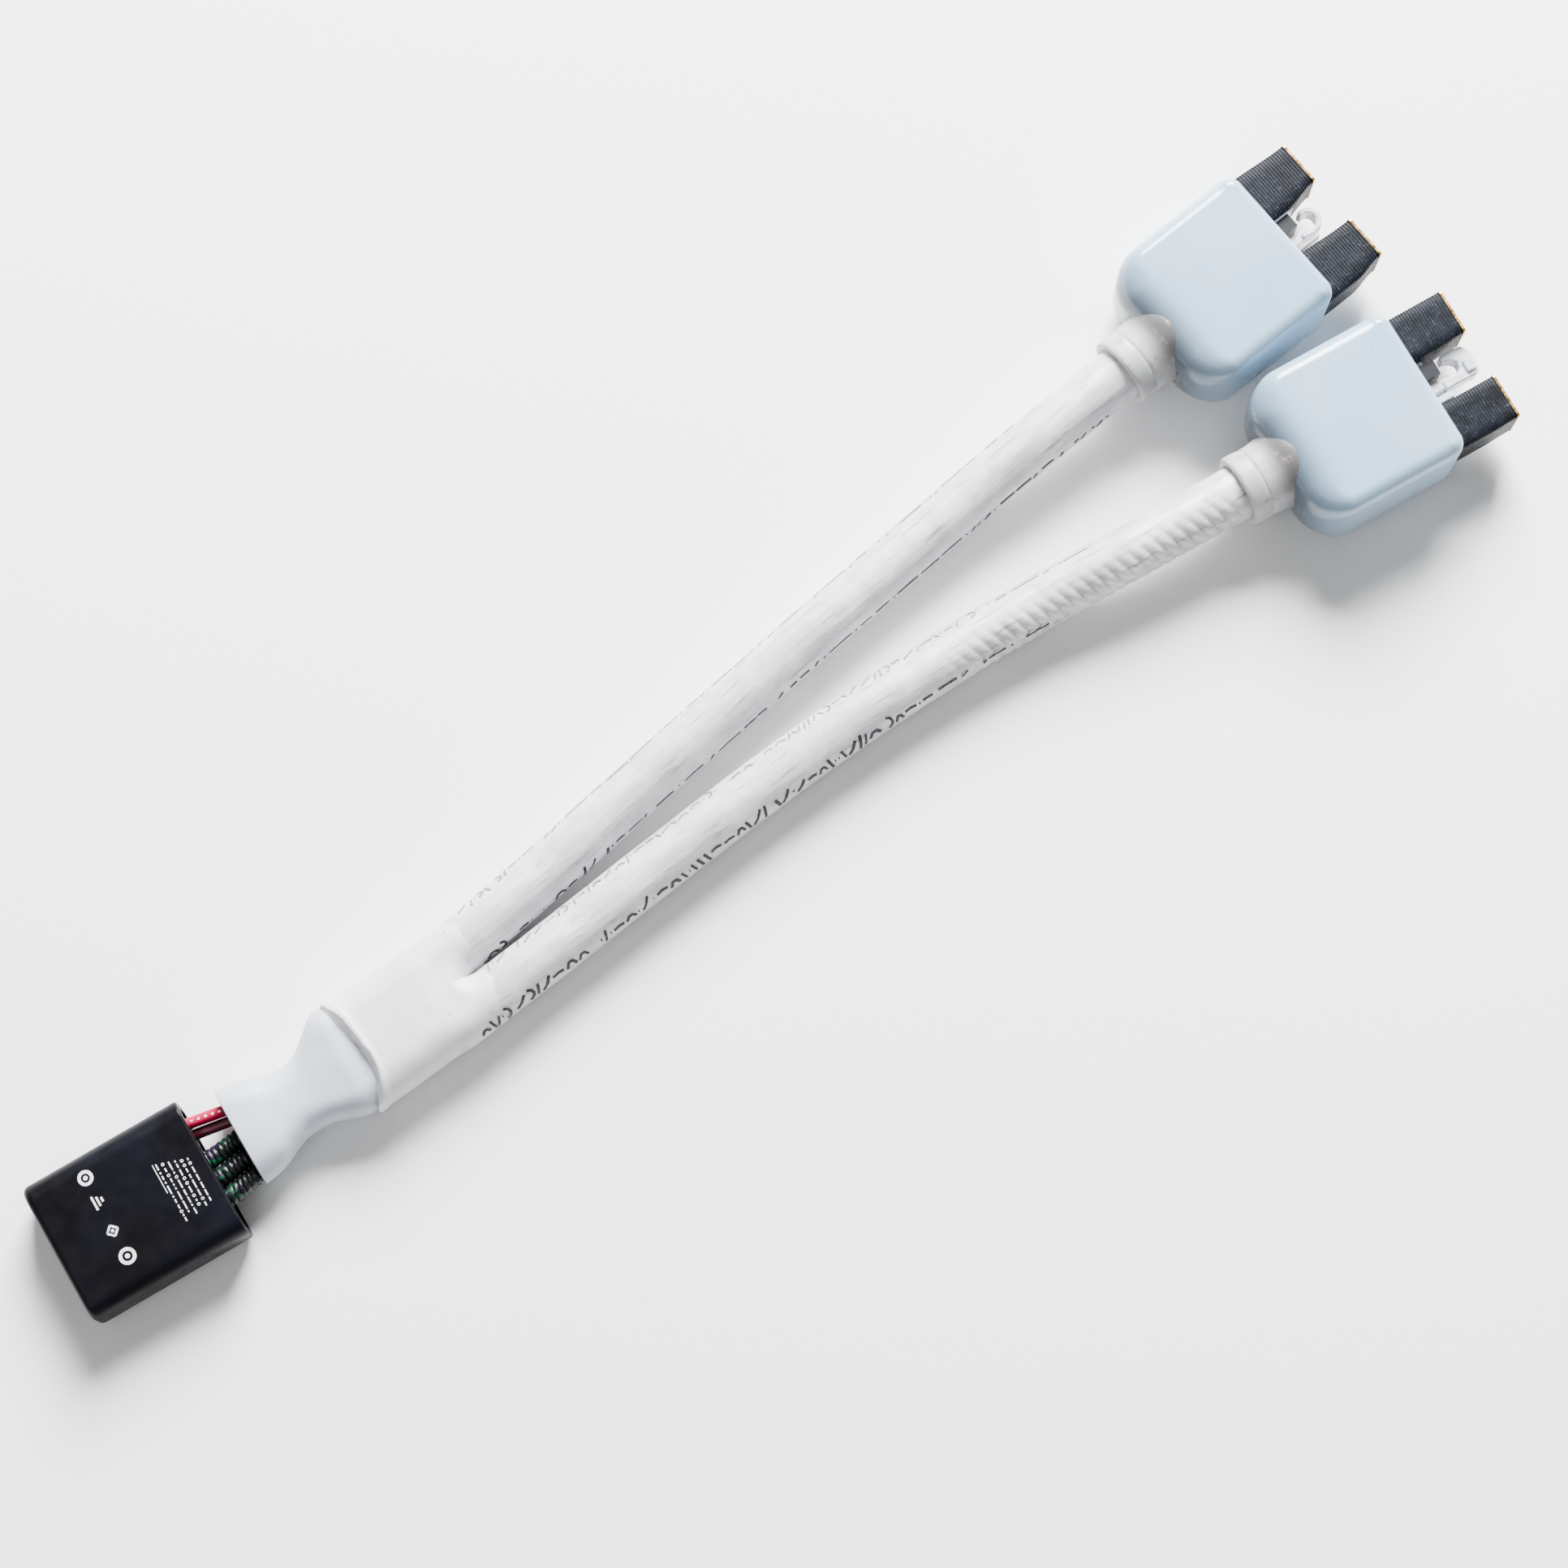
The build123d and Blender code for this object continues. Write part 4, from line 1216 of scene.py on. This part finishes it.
def make_stage():
    """Plain pale floor."""
    corners = [(-1, -1), (1, -1), (1, 1), (-1, 1)]
    mesh = bpy.data.meshes.new("floor")
    mesh.from_pydata([(u * FLOOR_HALF, v * FLOOR_HALF, FLOOR_Z) for u, v in corners],
                     [], [(0, 1, 2, 3)])
    floor = show("floor", mesh)
    s = Shader("floor_white", (0.9, 0.9, 0.9), 0.9)
    s.colour(s.mix(s.noise(3.0), (FLOOR_TONE,) * 3, (FLOOR_TONE - 0.01,) * 3))
    mesh.materials.append(s.mat)


def area_light(name, at, look, size, power):
    data = bpy.data.lights.new(name, "AREA")
    data.shape = "SQUARE"
    data.size = size
    data.energy = power
    aim(show(name, data), at, look)


def make_lights():
    world = bpy.data.worlds.new("studio")
    world.use_nodes = True
    background = world.node_tree.nodes["Background"]
    background.inputs["Color"].default_value = (1, 1, 1, 1)
    background.inputs["Strength"].default_value = WORLD_STRENGTH
    bpy.context.scene.world = world
    area_light("key", KEY_AT, LIGHTS_LOOK_AT, KEY_SIZE, KEY_POWER)
    area_light("fill", FILL_AT, LIGHTS_LOOK_AT, FILL_SIZE, FILL_POWER)


# ---- assembly
INK = cable_ink("cable_ink", (0.004, 0.004, 0.007), (0.08, 0.08, 0.09))
FAINT_INK = cable_ink("faint_ink", (0.16, 0.16, 0.18), (0.4, 0.4, 0.42))
PRINT = printed_ink()
BOOT_WHITE = soft_white("boot_white", (0.60, 0.605, 0.62), (0.76, 0.76, 0.77))
make_camera()
upper = make_cable("upper_jacket", UPPER, 1.0, False)
lower = make_cable("lower_jacket", LOWER, 5.0, True)
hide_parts("upper_cable")
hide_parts("lower_cable")
dress_cad_nodes()
upper_print = make_cable_print("upper_print", UPPER, 11, 12, 50.6, 150, 70, INK)
lower_print = make_cable_print("lower_print", LOWER, 12, 27, 50.6, 128, 112, INK, 1.15)
upper_faint = make_cable_print("upper_faint_print", UPPER, 21, 148, 51, 140, 60, FAINT_INK, 0.8)
lower_faint = make_cable_print("lower_faint_print", LOWER, 22, 140, 50.6, 140, 125, FAINT_INK,
                               0.7)
make_cable_print("boot_print", LOWER, 34, 27, 45.4, 49.4, 60, INK, 1.15, cover=0.1)

for plug in (PLUG_A, PLUG_B):
    make_plug_body(plug)
    make_collar(plug)
    make_prong(plug, "left_prong", PRONG_Y)
    make_prong(plug, "right_prong", -PRONG_Y)
make_latches()
make_guides()
for seed, wrap in enumerate(WRAP_PATHS):
    make_wrap(wrap, 50 + 10 * seed)
make_tail_sleeve()
make_boot()
make_case_print()
make_lead_dots()
make_stage()
make_lights()


[tuple(p * MM) for p in UPPER.points]
[tuple(p * MM) for p in LOWER.points]
